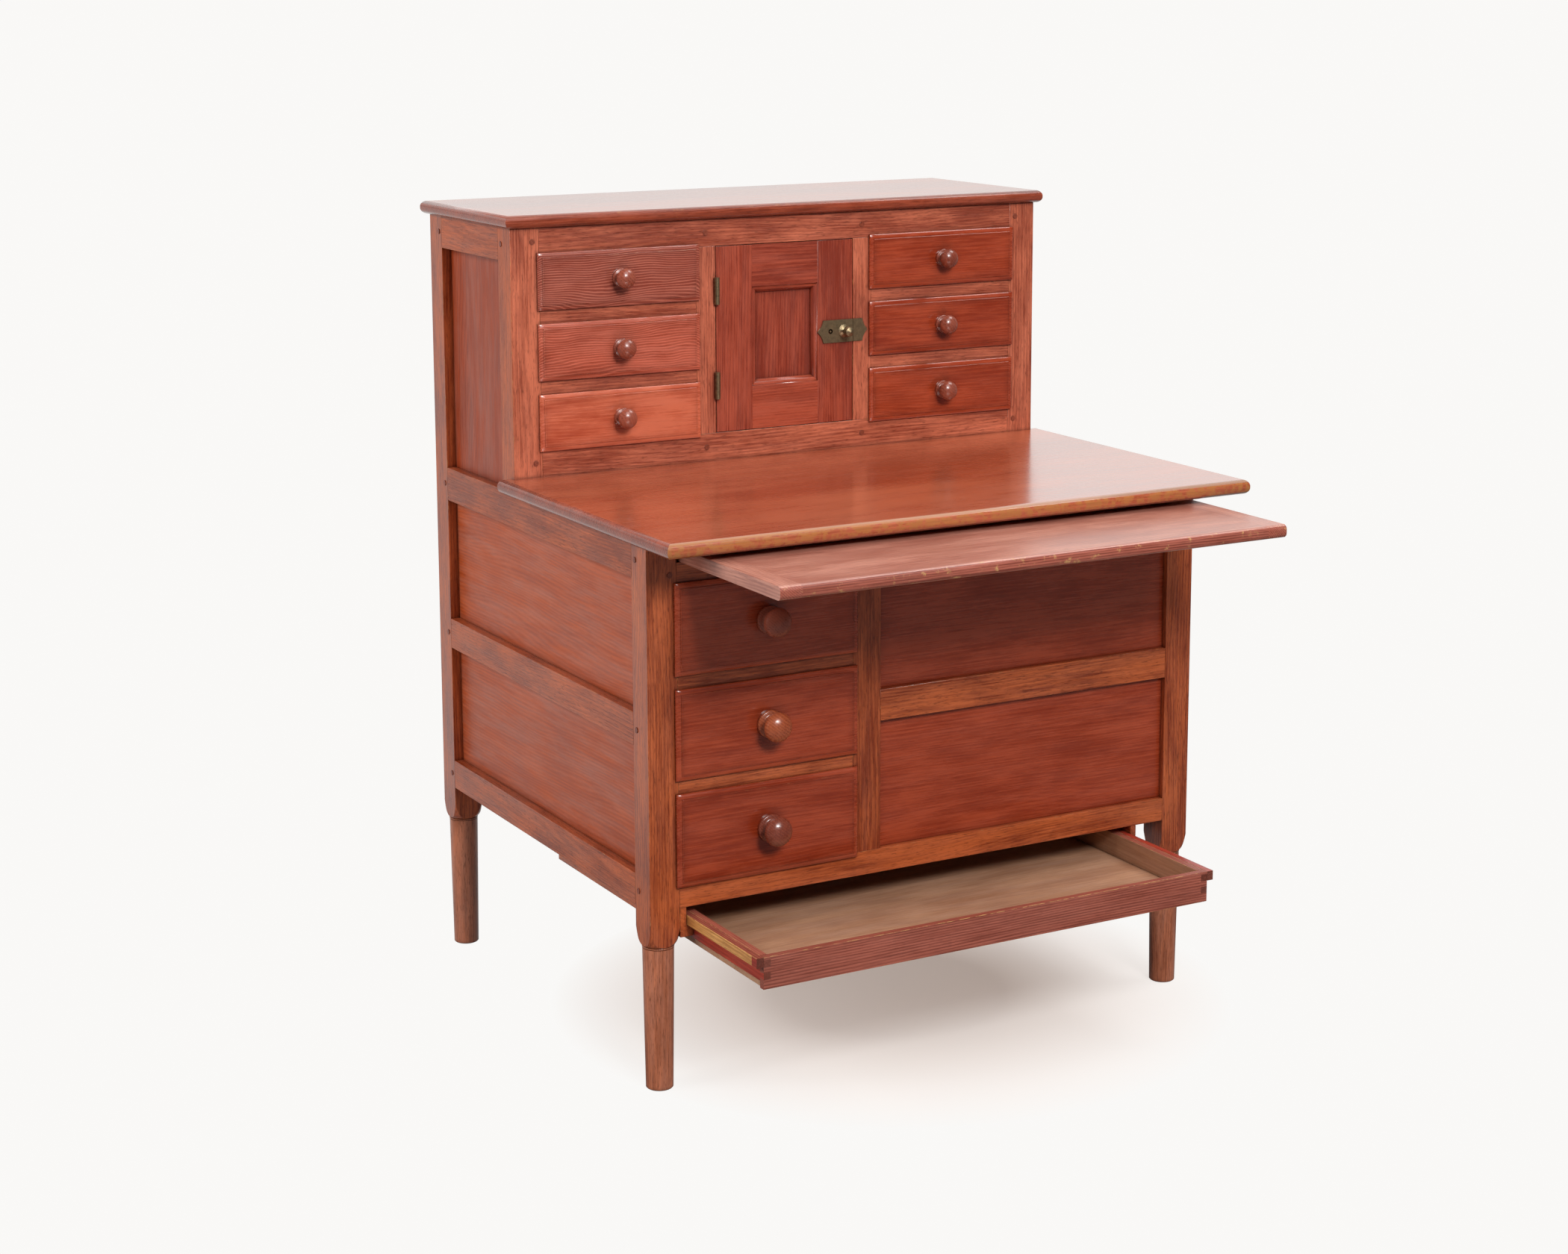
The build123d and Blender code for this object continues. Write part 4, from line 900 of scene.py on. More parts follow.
def turned(profile: Sequence[tuple[float, float]], foot: Vector, axis: Vector,
           steps: int) -> bmesh.types.BMesh:
    """Turn a profile round an axis, as on a lathe.

    Args:
        profile: Points of (radius, distance along the axis), both ends on the axis.
        foot: Where the axis starts.
        axis: The way it points.
        steps: How many steps a full turn takes.

    Returns:
        A closed mesh in the row frame.
    """
    bm = bmesh.new()
    axis = axis.normalized()
    side = axis.orthogonal().normalized()
    verts = [bm.verts.new(foot + side * radius + axis * along) for radius, along in profile]
    edges = [bm.edges.new(pair) for pair in zip(verts, verts[1:])]
    bmesh.ops.spin(
        bm, geom=verts + edges, cent=foot, axis=axis, angle=2 * pi, steps=steps, use_merge=True,
    )
    bmesh.ops.remove_doubles(bm, verts=bm.verts, dist=TOUCHING / 2)
    bmesh.ops.recalc_face_normals(bm, faces=bm.faces)
    return bm


def arc(centre: tuple[float, float], radii: tuple[float, float], start: float, end: float,
        steps: int) -> list[tuple[float, float]]:
    """Points of an elliptical arc in a profile.

    Args:
        centre: The ellipse's centre, as (radius, distance along the axis).
        radii: Its half widths the same two ways.
        start: The first point's angle in degrees.
        end: The last point's angle in degrees.
        steps: How many steps the arc takes.

    Returns:
        The points, both ends included.
    """
    angles = [radians(start + (end - start) * i / steps) for i in range(steps + 1)]
    return [(centre[0] + radii[0] * cos(a), centre[1] + radii[1] * sin(a)) for a in angles]


def join_meshes(parts: Sequence[bmesh.types.BMesh]) -> bmesh.types.BMesh:
    """Put several meshes into one, as separate shells.

    Args:
        parts: The meshes; they are freed.

    Returns:
        The mesh that holds them all.
    """
    whole = bmesh.new()
    for part in parts:
        mesh = bpy.data.meshes.new("part")
        part.to_mesh(mesh)
        part.free()
        whole.from_mesh(mesh)
        bpy.data.meshes.remove(mesh)
    return whole


class Assembly:
    """A sub-assembly of the desk: what it models anew, and what keeps its CAD shape."""

    def build(self) -> None:
        """Make the pieces that stand in for CAD nodes."""

    def dress(self) -> None:
        """Finish the CAD nodes that stay; most sub-assemblies have none."""


# ------------------------------------------------------------------------------ case and gallery joinery
@dataclass
class Joinery(Assembly):
    """The framed boards and panels, eased by hand along their arrises."""

    ease_width: float = 0.55 * MM
    shortest_arris: float = 20 * MM
    panel_tongue: float = 7 * MM
    shade_and_grime_reach: float = 12 * MM
    left_facing: float = -0.7
    first_panel_seed: int = 30
    boards: dict[str, WoodFinish] = field(default_factory=lambda: {
        "front_rails": FRAME_WOOD,
        "front_mid_stile": FRAME_WOOD,
        "front_divider_rails": FRAME_WOOD,
        "left_side_rails": SIDE_WOOD,
        "right_side_rails": FRAME_WOOD,
        "back_frame": FRAME_WOOD,
        "gallery_posts": GALLERY_WOOD,
        "gallery_rails": GALLERY_WOOD,
        "gallery_stiles": GALLERY_WOOD,
        "gallery_side_rails": SIDE_WOOD,
        "tray_hangers": FRAME_WOOD,
    })
    panels: dict[str, tuple[WoodFinish, Optional[Grain]]] = field(default_factory=lambda: {
        "front_panels": (FACE_WOOD, None),
        "left_side_panels": (PANEL_WOOD, None),
        "back_panels": (PANEL_WOOD, None),
        "gallery_side_panels": (TALL_PANEL_WOOD, Grain.Z),
    })
    hidden: tuple[str, ...] = ("gallery_inside", "case_partition", "drawer_runners", "slide_guides")

    def build(self) -> None:
        """Make an eased piece for each node of plain boards, and one with painted shade and dirt at its
        borders for each of panels.
        """
        for seed, (node, finish) in enumerate(self.boards.items()):
            bm = merged_copy(node)
            ease(bm, self.ease_width, self.shortest_arris)
            made_piece(bm, f"{node}_eased", "case", seed, self._rule(finish), [node])
        for seed, (node, (finish, grain)) in enumerate(self.panels.items(), self.first_panel_seed):
            bm = merged_copy(node)
            # Painted shade and dirt along the panels' borders.
            shade_and_soil_fields(bm, self.panel_tongue, self.shade_and_grime_reach)
            made_piece(bm, f"{node}_field", "case", seed, plain(finish, grain), [node])

    def _rule(self, finish: WoodFinish) -> FinishRule:
        """A rule for one finish along each board.

        Args:
            finish: The finish; the gallery's left faces take the case side's duller, darker finish
                instead, a painted shade that evens out the left lamp's light on them.

        Returns:
            The rule.
        """
        def rule(board: Board, face: bmesh.types.BMFace) -> tuple[WoodFinish, Grain]:
            """The finish and the grain of a face."""
            # Faces turned to the left lamp get the side's darker finish: painted shade.
            shaded_left = finish is GALLERY_WOOD and face.normal.x < self.left_facing
            return (SIDE_WOOD if shaded_left else finish), board.grain

        return rule

    def dress(self) -> None:
        """Finish the hidden boards and the pegs, which keep their CAD shapes."""
        for node in self.hidden:
            restain(node, BARE_WOOD.material(Grain.Y))
        restain("pegs", PEG_WOOD.material(Grain.Y))


@dataclass
class TurnedLegs(Assembly):
    """The legs: square above, turned below a ring, with rounded pommels between."""

    foot_radius: float = 16.5 * MM
    turned_radius: float = 19.0 * MM
    ring_z: float = 175.5 * MM
    ring_height: float = 3.5 * MM
    groove: float = 0.9 * MM
    bead_inset: float = 0.2 * MM
    bead_swell: float = 0.6 * MM
    bead_turn: float = 80.0
    pommel: tuple[tuple[float, float], ...] = (
        (19.4, 0.0), (21.4, 2.0), (23.2, 5.0), (24.6, 9.0), (26.0, 14.5), (27.2, 20.0),
    )
    pommel_height: float = 24 * MM
    foot_ease: float = 1.2 * MM
    arris: float = 0.8 * MM
    arris_share: float = 0.2
    corner_waste: float = 0.4 * MM
    steps: int = 64
    first_seed: int = 40

    def build(self) -> None:
        """Make the front pair and the rear pair."""
        for seed, node in enumerate(("front_legs", "rear_legs"), self.first_seed):
            low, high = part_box(node)
            size = high.y - low.y
            feet = [Vector((x, low.y + size / 2, 0.0)) for x in (low.x + size / 2, high.x - size / 2)]
            pair = join_meshes([self._leg(foot, size, high.z) for foot in feet])
            made_piece(pair, f"{node}_turned", "case", seed, self._rule, [node])

    def _rule(self, board: Board, face: bmesh.types.BMFace) -> tuple[WoodFinish, Grain]:
        """The turned part is paler than the square part above its pommels."""
        squared = face.calc_center_median().z > self.ring_z + self.ring_height
        return (FRAME_WOOD if squared else LEG_WOOD), Grain.Z

    def _profile(self, corner: float, top: float) -> list[tuple[float, float]]:
        """The leg's outline.

        Args:
            corner: The radius round the square part's corners.
            top: The leg's height.

        Returns:
            Points of (radius, height), from the foot to the top.
        """
        ring_top = self.ring_z + self.ring_height
        waist = self.turned_radius - self.groove
        middle = (self.turned_radius - self.bead_inset, self.ring_z + self.ring_height / 2)
        points = [(0.0, 0.0), (self.foot_radius - self.foot_ease, 0.0), (self.foot_radius, self.foot_ease)]
        points += [(self.turned_radius, self.ring_z), (waist, self.ring_z + self.groove / 2)]
        points += arc(middle, (self.bead_swell, self.ring_height / 2 - self.groove), -self.bead_turn,
                      self.bead_turn, 6)
        points += [(waist, ring_top - self.groove / 2)]
        points += [(radius * MM, ring_top + along * MM) for radius, along in self.pommel]
        return points + [(corner, ring_top + self.pommel_height), (corner, top), (0.0, top)]

    def _leg(self, foot: Vector, size: float, top: float) -> bmesh.types.BMesh:
        """One leg: turned whole, then planed flat on its four sides above the pommels.

        Args:
            foot: The middle of its foot.
            size: The square part's width.
            top: The leg's height.

        Returns:
            The leg's mesh, in the row frame.
        """
        half = size / 2
        profile = self._profile(half * sqrt(2) + self.corner_waste, top)
        bm = turned(profile, foot, Vector((0, 0, 1)), self.steps)
        for normal in (Vector((1, 0, 0)), Vector((-1, 0, 0)), Vector((0, 1, 0)), Vector((0, -1, 0))):
            planed = bmesh.ops.bisect_plane(
                bm, geom=everything(bm), dist=CUT_PRECISION, plane_co=foot + normal * half, plane_no=normal,
                clear_outer=True,
            )
            rim = [item for item in planed["geom_cut"] if isinstance(item, bmesh.types.BMEdge)]
            bmesh.ops.edgeloop_fill(bm, edges=rim)
        join_flats(bm)
        bmesh.ops.recalc_face_normals(bm, faces=bm.faces)
        ease(bm, self.arris, self.arris_share * top)
        return bm


@dataclass
class BullnosedTops(Assembly):
    """The worktop and the gallery's top board, with their rounded edges."""

    crest: float = 3.2 * MM
    front_edge: float = 12 * MM
    level_face: float = 0.98
    worktop_wear: tuple[float, float] = (0.52, 0.85)
    gallery_wear: tuple[float, float] = (0.30, 0.42)
    smooth: float = 40.0
    seed: int = 51

    def build(self) -> None:
        """Make both boards; only the worktop's front is rubbed through to golden wood."""
        self._board("worktop", self.seed, *self.worktop_wear)
        self._board("gallery_top", self.seed + 1, *self.gallery_wear)

    def _board(self, node: str, seed: int, front: float, crest: float) -> None:
        """One board.

        Args:
            node: The CAD node.
            seed: Which part of the wood's pattern it is cut from.
            front: How worn the front edge is.
            crest: How worn the front edge's upper arris is.
        """
        bm = merged_copy(node)
        mark = worn_layer(bm)
        low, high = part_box(node)
        for face in bm.faces:
            place = face.calc_center_median()
            if abs(face.normal.z) <= self.level_face and place.y <= low.y + self.front_edge:
                face[mark] = crest if high.z - place.z < self.crest else front

        def rule(board: Board, face: bmesh.types.BMFace) -> tuple[WoodFinish, Grain]:
            """The rounded edges take a painted shade, darker than the top, but for the worktop's front."""
            level = abs(face.normal.z) > self.level_face
            rubbed = node == "worktop" and face.calc_center_median().y < low.y + self.front_edge
            return (TOP_WOOD if level or rubbed else SHADED_EDGE_WOOD), Grain.X

        made_piece(bm, f"{node}_board", "case", seed, rule, [node], self.smooth, planed=(2,))


# ------------------------------------------------------------------------------ drawers
@dataclass(frozen=True)
class KnobStyle:
    """A turned drawer knob: a collar, a short waist and a mushroom head.

    The shares are of the radius or the thickness of what they shape.
    """

    head_radius: float
    head_depth: float
    collar_radius: float
    collar_thickness: float
    waist_radius: float
    projection: float
    stem_radius: float
    stem_length: float
    rim_share: float = 0.34
    seat_share: float = 0.30
    rounding: tuple[float, float] = (0.42, 0.45)
    lip: tuple[float, float] = (0.84, 0.92)
    shoulder: float = 0.80
    throat: float = 0.86

    def profile(self) -> list[tuple[float, float]]:
        """The knob's outline.

        Returns:
            Points of (radius, height), from the stem's end out to the head's tip.
        """
        collar, thick = self.collar_radius, self.collar_thickness
        shoulder, throat = self.shoulder * collar, self.throat * self.head_radius
        neck = self.projection - self.head_depth
        middle = (neck + thick) / 2
        rim = (0.0, neck + self.rim_share * self.head_depth)
        rounding = (self.rounding[0] * thick, self.rounding[1] * thick)
        points = [(0.0, -self.stem_length), (self.stem_radius, -self.stem_length), (self.stem_radius, 0.0)]
        points += [(collar - self.seat_share * thick, 0.0)]
        points += arc((collar - rounding[0], rounding[1]), rounding, -60, 75, 7)
        points += [(self.lip[0] * collar, self.lip[1] * thick), (shoulder, thick)]
        points += arc((shoulder, middle), (self.waist_radius - shoulder, thick - middle), 80, 0, 6)[:-1]
        points += arc((throat, middle), (self.waist_radius - throat, neck - middle), 0, 70, 6)
        points += arc(rim, (self.head_radius, rim[1] - neck), -38, 0, 6)
        points += arc(rim, (self.head_radius, self.projection - rim[1]), 0, 90, 14)[1:]
        return points[:-1] + [(0.0, self.projection)]


@dataclass
class DrawerSet(Assembly):
    """One row of like drawers: moulded fronts with turned knobs, and bare boxes behind."""

    names: Sequence[str]
    out: Vector
    knob: KnobStyle
    faces: Sequence[WoodFinish]
    knobs: Sequence[WoodFinish]
    seed: int
    ease_width: float = 0.5 * MM
    shortest_arris: float = 30 * MM
    eased_depth: float = 8 * MM
    moulding: float = 7.3 * MM
    moulding_step: float = 1.6 * MM
    lip: float = 6.4 * MM
    shade_and_grime_reach: float = 9 * MM
    # Painted shade and dirt at the lip's foot against the case and in the moulding's step.
    lip_shade_and_grime: float = 2.0
    step_shade_and_grime: float = 1.3
    slack: float = 0.4 * MM
    stem_room: float = 0.5 * MM
    face_skin: float = 0.05 * MM
    knob_seeds: int = 4
    smooth: float = 50.0
    steps: int = 48

    @property
    def sideways(self) -> bool:
        """True for drawers that open along X."""
        return abs(self.out.x) > 0.5

    def build(self) -> None:
        """Make each drawer's front and knob."""
        for i, name in enumerate(self.names):
            low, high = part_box(f"{name}_front")
            reach = Vector([o * size / 2 for o, size in zip(self.out, high - low)])
            seat = (low + high) / 2 + reach - self.out * self.knob.projection
            self._front(name, seat, self.faces[i], self.seed + i)
            self._knob(name, seat, self.knobs[i], self.seed + self.knob_seeds * i)

    def _front(self, name: str, seat: Vector, finish: WoodFinish, seed: int) -> None:
        """The moulded front, with its knob's hole closed.

        Args:
            name: The drawer's name.
            seat: Where the knob's axis meets the front.
            finish: The front's finish.
            seed: Which part of the wood's pattern it is cut from.
        """
        bm = bmesh.new()
        bm.from_mesh(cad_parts[f"{name}_front"].data)
        reach = self.knob.stem_radius + self.stem_room

        def on_knob(face: bmesh.types.BMFace) -> bool:
            """Tell the knob, its stem and the stem's hole from the front itself.

            Args:
                face: A face of the drawer's front.

            Returns:
                True on the knob and its hole.
            """
            for vert in face.verts:
                away = vert.co - seat
                ahead = away.dot(self.out)
                if ahead <= self.face_skin and (away - self.out * ahead).length > reach:
                    return False
            return True

        bmesh.ops.delete(bm, geom=[face for face in bm.faces if on_knob(face)], context="FACES")
        bmesh.ops.remove_doubles(bm, verts=bm.verts, dist=TOUCHING)
        hole = [edge for edge in bm.edges if edge.is_boundary]
        if hole:
            bmesh.ops.contextual_create(bm, geom=hole)
        join_flats(bm)
        bmesh.ops.recalc_face_normals(bm, faces=bm.faces)
        ease(bm, self.ease_width, self.shortest_arris,
             chosen=lambda edge: (edge.verts[0].co - seat).dot(self.out) > -self.eased_depth)
        # Painted shade and dirt along the field's borders and in its crevices.
        shade_and_soil_fields(bm, self.moulding, self.shade_and_grime_reach)
        self._shade_and_soil_crevices(bm, seat)
        layer = bm.faces.layers.float_vector.new("seat")
        for face in bm.faces:
            face[layer] = seat
        rule = plain(finish, Grain.Y if self.sideways else Grain.X)
        made_piece(bm, f"{name}_face", name, seed, rule, [f"{name}_front"])

    def _shade_and_soil_crevices(self, bm: bmesh.types.BMesh, seat: Vector) -> None:
        """Paint shade and gather dirt where the lip meets the case and in the moulding's step.

        Args:
            bm: The front's mesh.
            seat: Where the knob's axis meets the front.
        """
        layer = bm.verts.layers.float["shade_and_grime"]
        board, _ = islands(bm)[0]
        axes = [i for i in range(3) if abs(self.out[i]) < 0.5]
        for vert in bm.verts:
            sunk = -(vert.co - seat).dot(self.out)
            gap = board.inset(vert.co, axes)
            if sunk > self.lip - self.slack and gap < self.slack:
                vert[layer] = self.lip_shade_and_grime
            elif gap < self.moulding - self.slack / 2:
                in_step = gap > self.moulding - self.moulding_step and sunk > self.slack
                vert[layer] = self.step_shade_and_grime if in_step else 0.0

    def _knob(self, name: str, seat: Vector, finish: WoodFinish, seed: int) -> None:
        """The knob, turned and glued in at its seat.

        Args:
            name: The drawer's name.
            seat: Where the knob's axis meets the front.
            finish: The knob's finish.
            seed: Which part of the wood's pattern it is turned from.
        """
        bm = turned(self.knob.profile(), seat, self.out, self.steps)
        rule = plain(finish, Grain.X if self.sideways else Grain.Y)
        made_piece(bm, f"{name}_knob", name, seed, rule, smooth=self.smooth, planed=())

    def dress(self) -> None:
        """Finish the drawer boxes, which keep their CAD dovetails."""
        for name in self.names:
            restain(f"{name}_box", BARE_WOOD.material(Grain.X if self.sideways else Grain.Y))


# ------------------------------------------------------------------------------ cupboard door and brass
@dataclass
class CupboardDoor(Assembly):
    """The framed door, its panel, and the brass that hangs and latches it."""

    body: str = "cupboard_door"
    ease_width: float = 0.35 * MM
    shortest_arris: float = 25 * MM
    stile_arris: float = 100 * MM
    panel_tongue: float = 7 * MM
    shade_and_grime_reach: float = 12 * MM
    seed: int = 71
    brass: tuple[str, ...] = (
        "hinge_case_leaves", "hinge_door_leaves", "hinge_pins",
        "latch_bolt", "keeper", "lock_case", "latch_knob",
    )

    def build(self) -> None:
        """Make the door's frame and its panel."""
        bm = merged_copy("door_frame")
        ease(bm, self.ease_width, self.shortest_arris, chosen=self._eased)
        rule = plain(DOOR_WOOD)
        made_piece(bm, "door_frame_eased", self.body, self.seed, rule, ["door_frame"])
        bm = merged_copy("door_panel")
        # Painted shade and dirt along the panel's borders.
        shade_and_soil_fields(bm, self.panel_tongue, self.shade_and_grime_reach)
        rule = plain(DOOR_WOOD, Grain.Z)
        made_piece(bm, "door_panel_board", self.body, self.seed + 1, rule, ["door_panel"])

    def _eased(self, edge: bmesh.types.BMEdge) -> bool:
        """Long arrises and level ones are eased, but not the rails' short upright ends."""
        level = abs(edge.verts[0].co.z - edge.verts[1].co.z) < MM
        return level or edge.calc_length() > self.stile_arris

    def dress(self) -> None:
        """Finish the brass that keeps its CAD shape."""
        for node in self.brass:
            restain(node, BRASS.material())


# ------------------------------------------------------------------------------ work slide and tray
@dataclass
class WorkSlide(Assembly):
    """The work slide: a wide board between two clamped ends."""

    ease_width: float = 0.8 * MM
    shortest_arris: float = 12 * MM
    arris_wear: float = 0.40
    front_wear: float = 0.36
    worn_depth: float = 6.5 * MM
    level_face: float = 0.97
    front_facing: float = -0.6
    seed: int = 81

    def build(self) -> None:
        """Make the slide with its worn front."""
        bm = merged_copy("work_slide")
        low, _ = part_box("work_slide")
        ease(bm, self.ease_width, self.shortest_arris, self.arris_wear)
        mark = worn_layer(bm)
        for face in bm.faces:
            in_front = face.calc_center_median().y < low.y + self.worn_depth
            if in_front and abs(face.normal.z) < self.level_face:
                face[mark] = max(face[mark], self.front_wear)

        def rule(board: Board, face: bmesh.types.BMFace) -> tuple[WoodFinish, Grain]:
            """The front edge is darker than the worn top."""
            return (TRAY_WOOD if face.normal.y < self.front_facing else SLIDE_WOOD), board.grain

        made_piece(bm, "work_slide_board", "work_slide", self.seed, rule, ["work_slide"])


@dataclass
class BottomTray(Assembly):
    """The dovetailed tray that hangs under the case."""

    ease_width: float = 0.5 * MM
    shortest_arris: float = 25 * MM
    arris_wear: float = 0.50
    joint_ease: float = 0.25 * MM
    joint_arrises: tuple[float, float] = (4 * MM, 22 * MM)
    joint_depth: float = 0.1 * MM
    wall: float = 9 * MM
    strip_height: float = 12 * MM
    unworn: float = 12 * MM
    any_turn: float = 0.3
    half_turn: float = 0.5
    full_turn: float = 0.7
    seed: int = 91
    box: tuple[Vector, Vector] = field(default_factory=lambda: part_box("tray_frame"))

    def build(self) -> None:
        """Make the tray's boards and its bottom."""
        front = self.box[0].y
        joint = front + self.joint_depth
        shortest, longest = self.joint_arrises
        bm = merged_copy("tray_frame")
        ease(bm, self.ease_width, self.shortest_arris, self.arris_wear)
        ease(bm, self.joint_ease, shortest, level=0.0, segments=1, chosen=lambda edge: (
            edge.calc_length() < longest and max(vert.co.y for vert in edge.verts) < joint))
        bmesh.ops.bisect_plane(
            bm, geom=everything(bm), dist=CUT_PRECISION, plane_co=Vector((0, front + self.unworn, 0)),
            plane_no=Vector((0, 1, 0)),
        )
        made_piece(bm, "tray_boards", "bottom_tray", self.seed, self._rule, ["tray_frame"])
        bm = merged_copy("tray_bottom")
        ease(bm, self.ease_width, self.shortest_arris)
        rule, seed = plain(BARE_WOOD, Grain.X), self.seed + 1
        made_piece(bm, "tray_bottom_board", "bottom_tray", seed, rule, ["tray_bottom"])

    def _rule(self, board: Board, face: bmesh.types.BMFace) -> tuple[WoodFinish, Grain]:
        """Red paint outside, end grain on the tails, and a golden track along the left strip.

        Args:
            board: The box round the face's board.
            face: The face.

        Returns:
            The finish and the grain of the face.
        """
        low, high = self.box
        place, normal = face.calc_center_median(), face.normal
        runs_back = board.grain is Grain.Y
        if runs_back and board.high.z - board.low.z < self.strip_height + MM:
            if place.x < 0 and normal.x < -self.any_turn and place.y > low.y + self.unworn:
                return GOLDEN_STRIP, Grain.Y
            if place.x > 0 and normal.z > self.full_turn:
                return RED_PAINT, Grain.Y
        if runs_back and abs(normal.y) > self.full_turn:
            return END_GRAIN, Grain.Y
        on_left = board.low.x < low.x + 2 * self.wall and normal.x < -self.half_turn
        on_right = board.high.x > high.x - 2 * self.wall and normal.x > self.half_turn
        if runs_back and (on_left or on_right):
            return RED_PAINT, Grain.Y
        within = low.y + self.wall + MM < place.y < high.y - self.wall - MM
        return (BARE_WOOD if within and abs(normal.z) < self.half_turn else TRAY_WOOD), board.grain


# ------------------------------------------------------------------------------ studio
@dataclass(frozen=True)
class Lamp:
    """A square soft lamp that faces the desk."""

    name: str
    place: tuple[float, float, float]
    size: float
    power: float
    mirrored: bool = True


@dataclass
class Studio:
    """The pale floor and backdrop, the soft lamps and the camera.

    A mirror value says how bright the polish mirrors the floor or the backdrop on one side of the
    desk, and a fade is the stretch over which that goes over into the other value.
    """

    floor_size: float = 60.0
    paper: Colour = (0.93, 0.925, 0.915)
    paper_bounce: float = 0.50
    paper_roughness: float = 0.9
    paper_specular: float = 0.1
    backdrop: Colour = (0.95, 0.94, 0.925)
    # In the desk's shadow the paper glows only at the lift's share and in the shadow tint: painted warm
    # bounce light that lightens the shadow.
    lift: float = 0.36
    shadow_tint: Colour = (1.0, 0.84, 0.75)
    shadow_middle: tuple[float, float, float] = (0.02, -0.05, 0.0)
    shadow_reach: tuple[float, float] = (0.15, 0.44)
    front_mirror: float = 0.12
    front_fade: tuple[float, float] = (0.0, 1.2)
    left_mirror: float = 0.70
    left_fade: tuple[float, float] = (-1.2, -0.2)
    sky_mirror: tuple[float, float] = (0.72, 1.25)
    sky_height_fade: tuple[float, float] = (0.06, 0.20)
    sky_front_fade: tuple[float, float] = (-0.1, 0.3)
    sky_left_fade: tuple[float, float] = (-0.3, 0.2)
    ambient: float = 0.05
    aim: tuple[float, float, float] = (0.0, 0.0, 0.5)
    lamps: tuple[Lamp, ...] = (
        Lamp("key", (-0.4, -3.5, 2.9), 1.0, 104.0),
        Lamp("key_right", (0.4, -3.7, 2.7), 1.0, 23.0),
        Lamp("left", (-3.2, 0.3, 2.0), 1.8, 73.0, mirrored=False),
        Lamp("top_front", (0.0, -1.8, 3.2), 1.8, 26.0),
        Lamp("overhead", (1.4, -0.45, 3.0), 1.0, 24.0),
        Lamp("back", (0.8, 3.2, 2.4), 1.6, 15.0, mirrored=False),
    )
    camera_place: tuple[float, float, float] = (-1.7992, -3.0452, 1.3168)
    yaw: float = 29.06
    pitch: float = 10.105
    roll: float = 0.19
    lens: float = 64.743
    shift: float = -0.1

    def build(self) -> None:
        """Lay the floor, hang the lamps and set the camera."""
        self._floor()
        self._world()
        for lamp in self.lamps:
            self._hang(lamp)
        self._camera()
        bpy.context.scene.view_settings.view_transform = "Standard"

    def _floor(self) -> None:
        """A wide pale floor that runs into the backdrop, and keeps the desk's shadow."""
        bm = bmesh.new()
        bmesh.ops.create_grid(bm, x_segments=1, y_segments=1, size=self.floor_size)
        mesh = bpy.data.meshes.new("floor")
        bm.to_mesh(mesh)
        bm.free()
        floor = bpy.data.objects.new("floor", mesh)
        bpy.context.scene.collection.objects.link(floor)
        mesh.materials.append(self._paper(Shader("floor_paper")))

    def _paper(self, shader: Shader) -> bpy.types.Material:
        """Paper that glows like the backdrop where the camera or polish looks at it, and less in the desk's
        shadow, where a painted warm glow lightens it.

        Args:
            shader: A new material's shader.

        Returns:
            The floor's material.
        """
        path = shader.add("ShaderNodeLightPath").outputs
        bounce = rgba(self.paper, self.paper_bounce)
        paper = shader.blend(path["Is Camera Ray"], bounce, rgba(self.paper))
        shader.join(paper, shader.surface.inputs["Base Color"])
        shader.surface.inputs["Roughness"].default_value = self.paper_roughness
        shader.surface.inputs["Specular IOR Level"].default_value = self.paper_specular
        spot = shader.spot()
        away = shader.vector("DISTANCE", spot, self.shadow_middle)
        open_floor = shader.span(away, *self.shadow_reach, self.lift, 1.0)
        looked_at = shader.math("MAXIMUM", path["Is Camera Ray"], path["Is Transmission Ray"])
        seen = shader.math("MULTIPLY", looked_at, open_floor)
        mirrored = path["Is Glossy Ray"]
        behind = shader.span(shader.axis(spot, 1), *self.front_fade, self.front_mirror, 1.0)
        beside = shader.span(shader.axis(spot, 0), *self.left_fade, self.left_mirror, 1.0)
        dimmed = shader.math("SUBTRACT", shader.math("MULTIPLY", behind, beside), 1.0)
        clear = shader.span(shader.math("MAXIMUM", open_floor, mirrored), self.lift, 1.0)
        glow = shader.add("ShaderNodeEmission")
        # Painted warm bounce light in the shadow, going over into the backdrop's colour away from it.
        shader.join(shader.blend(clear, rgba(self.shadow_tint), rgba(self.backdrop)), glow.inputs["Color"])
        shader.join(shader.math("MULTIPLY_ADD", mirrored, dimmed, 1.0), glow.inputs["Strength"])
        mix = shader.add("ShaderNodeMixShader")
        shader.join(shader.math("MAXIMUM", seen, mirrored), mix.inputs[0])
        shader.join(shader.surface.outputs[0], mix.inputs[1])
        shader.join(glow.outputs[0], mix.inputs[2])
        shader.join(mix.outputs[0], shader.output.inputs["Surface"])
        shader.material.cycles.emission_sampling = "NONE"
        return shader.material

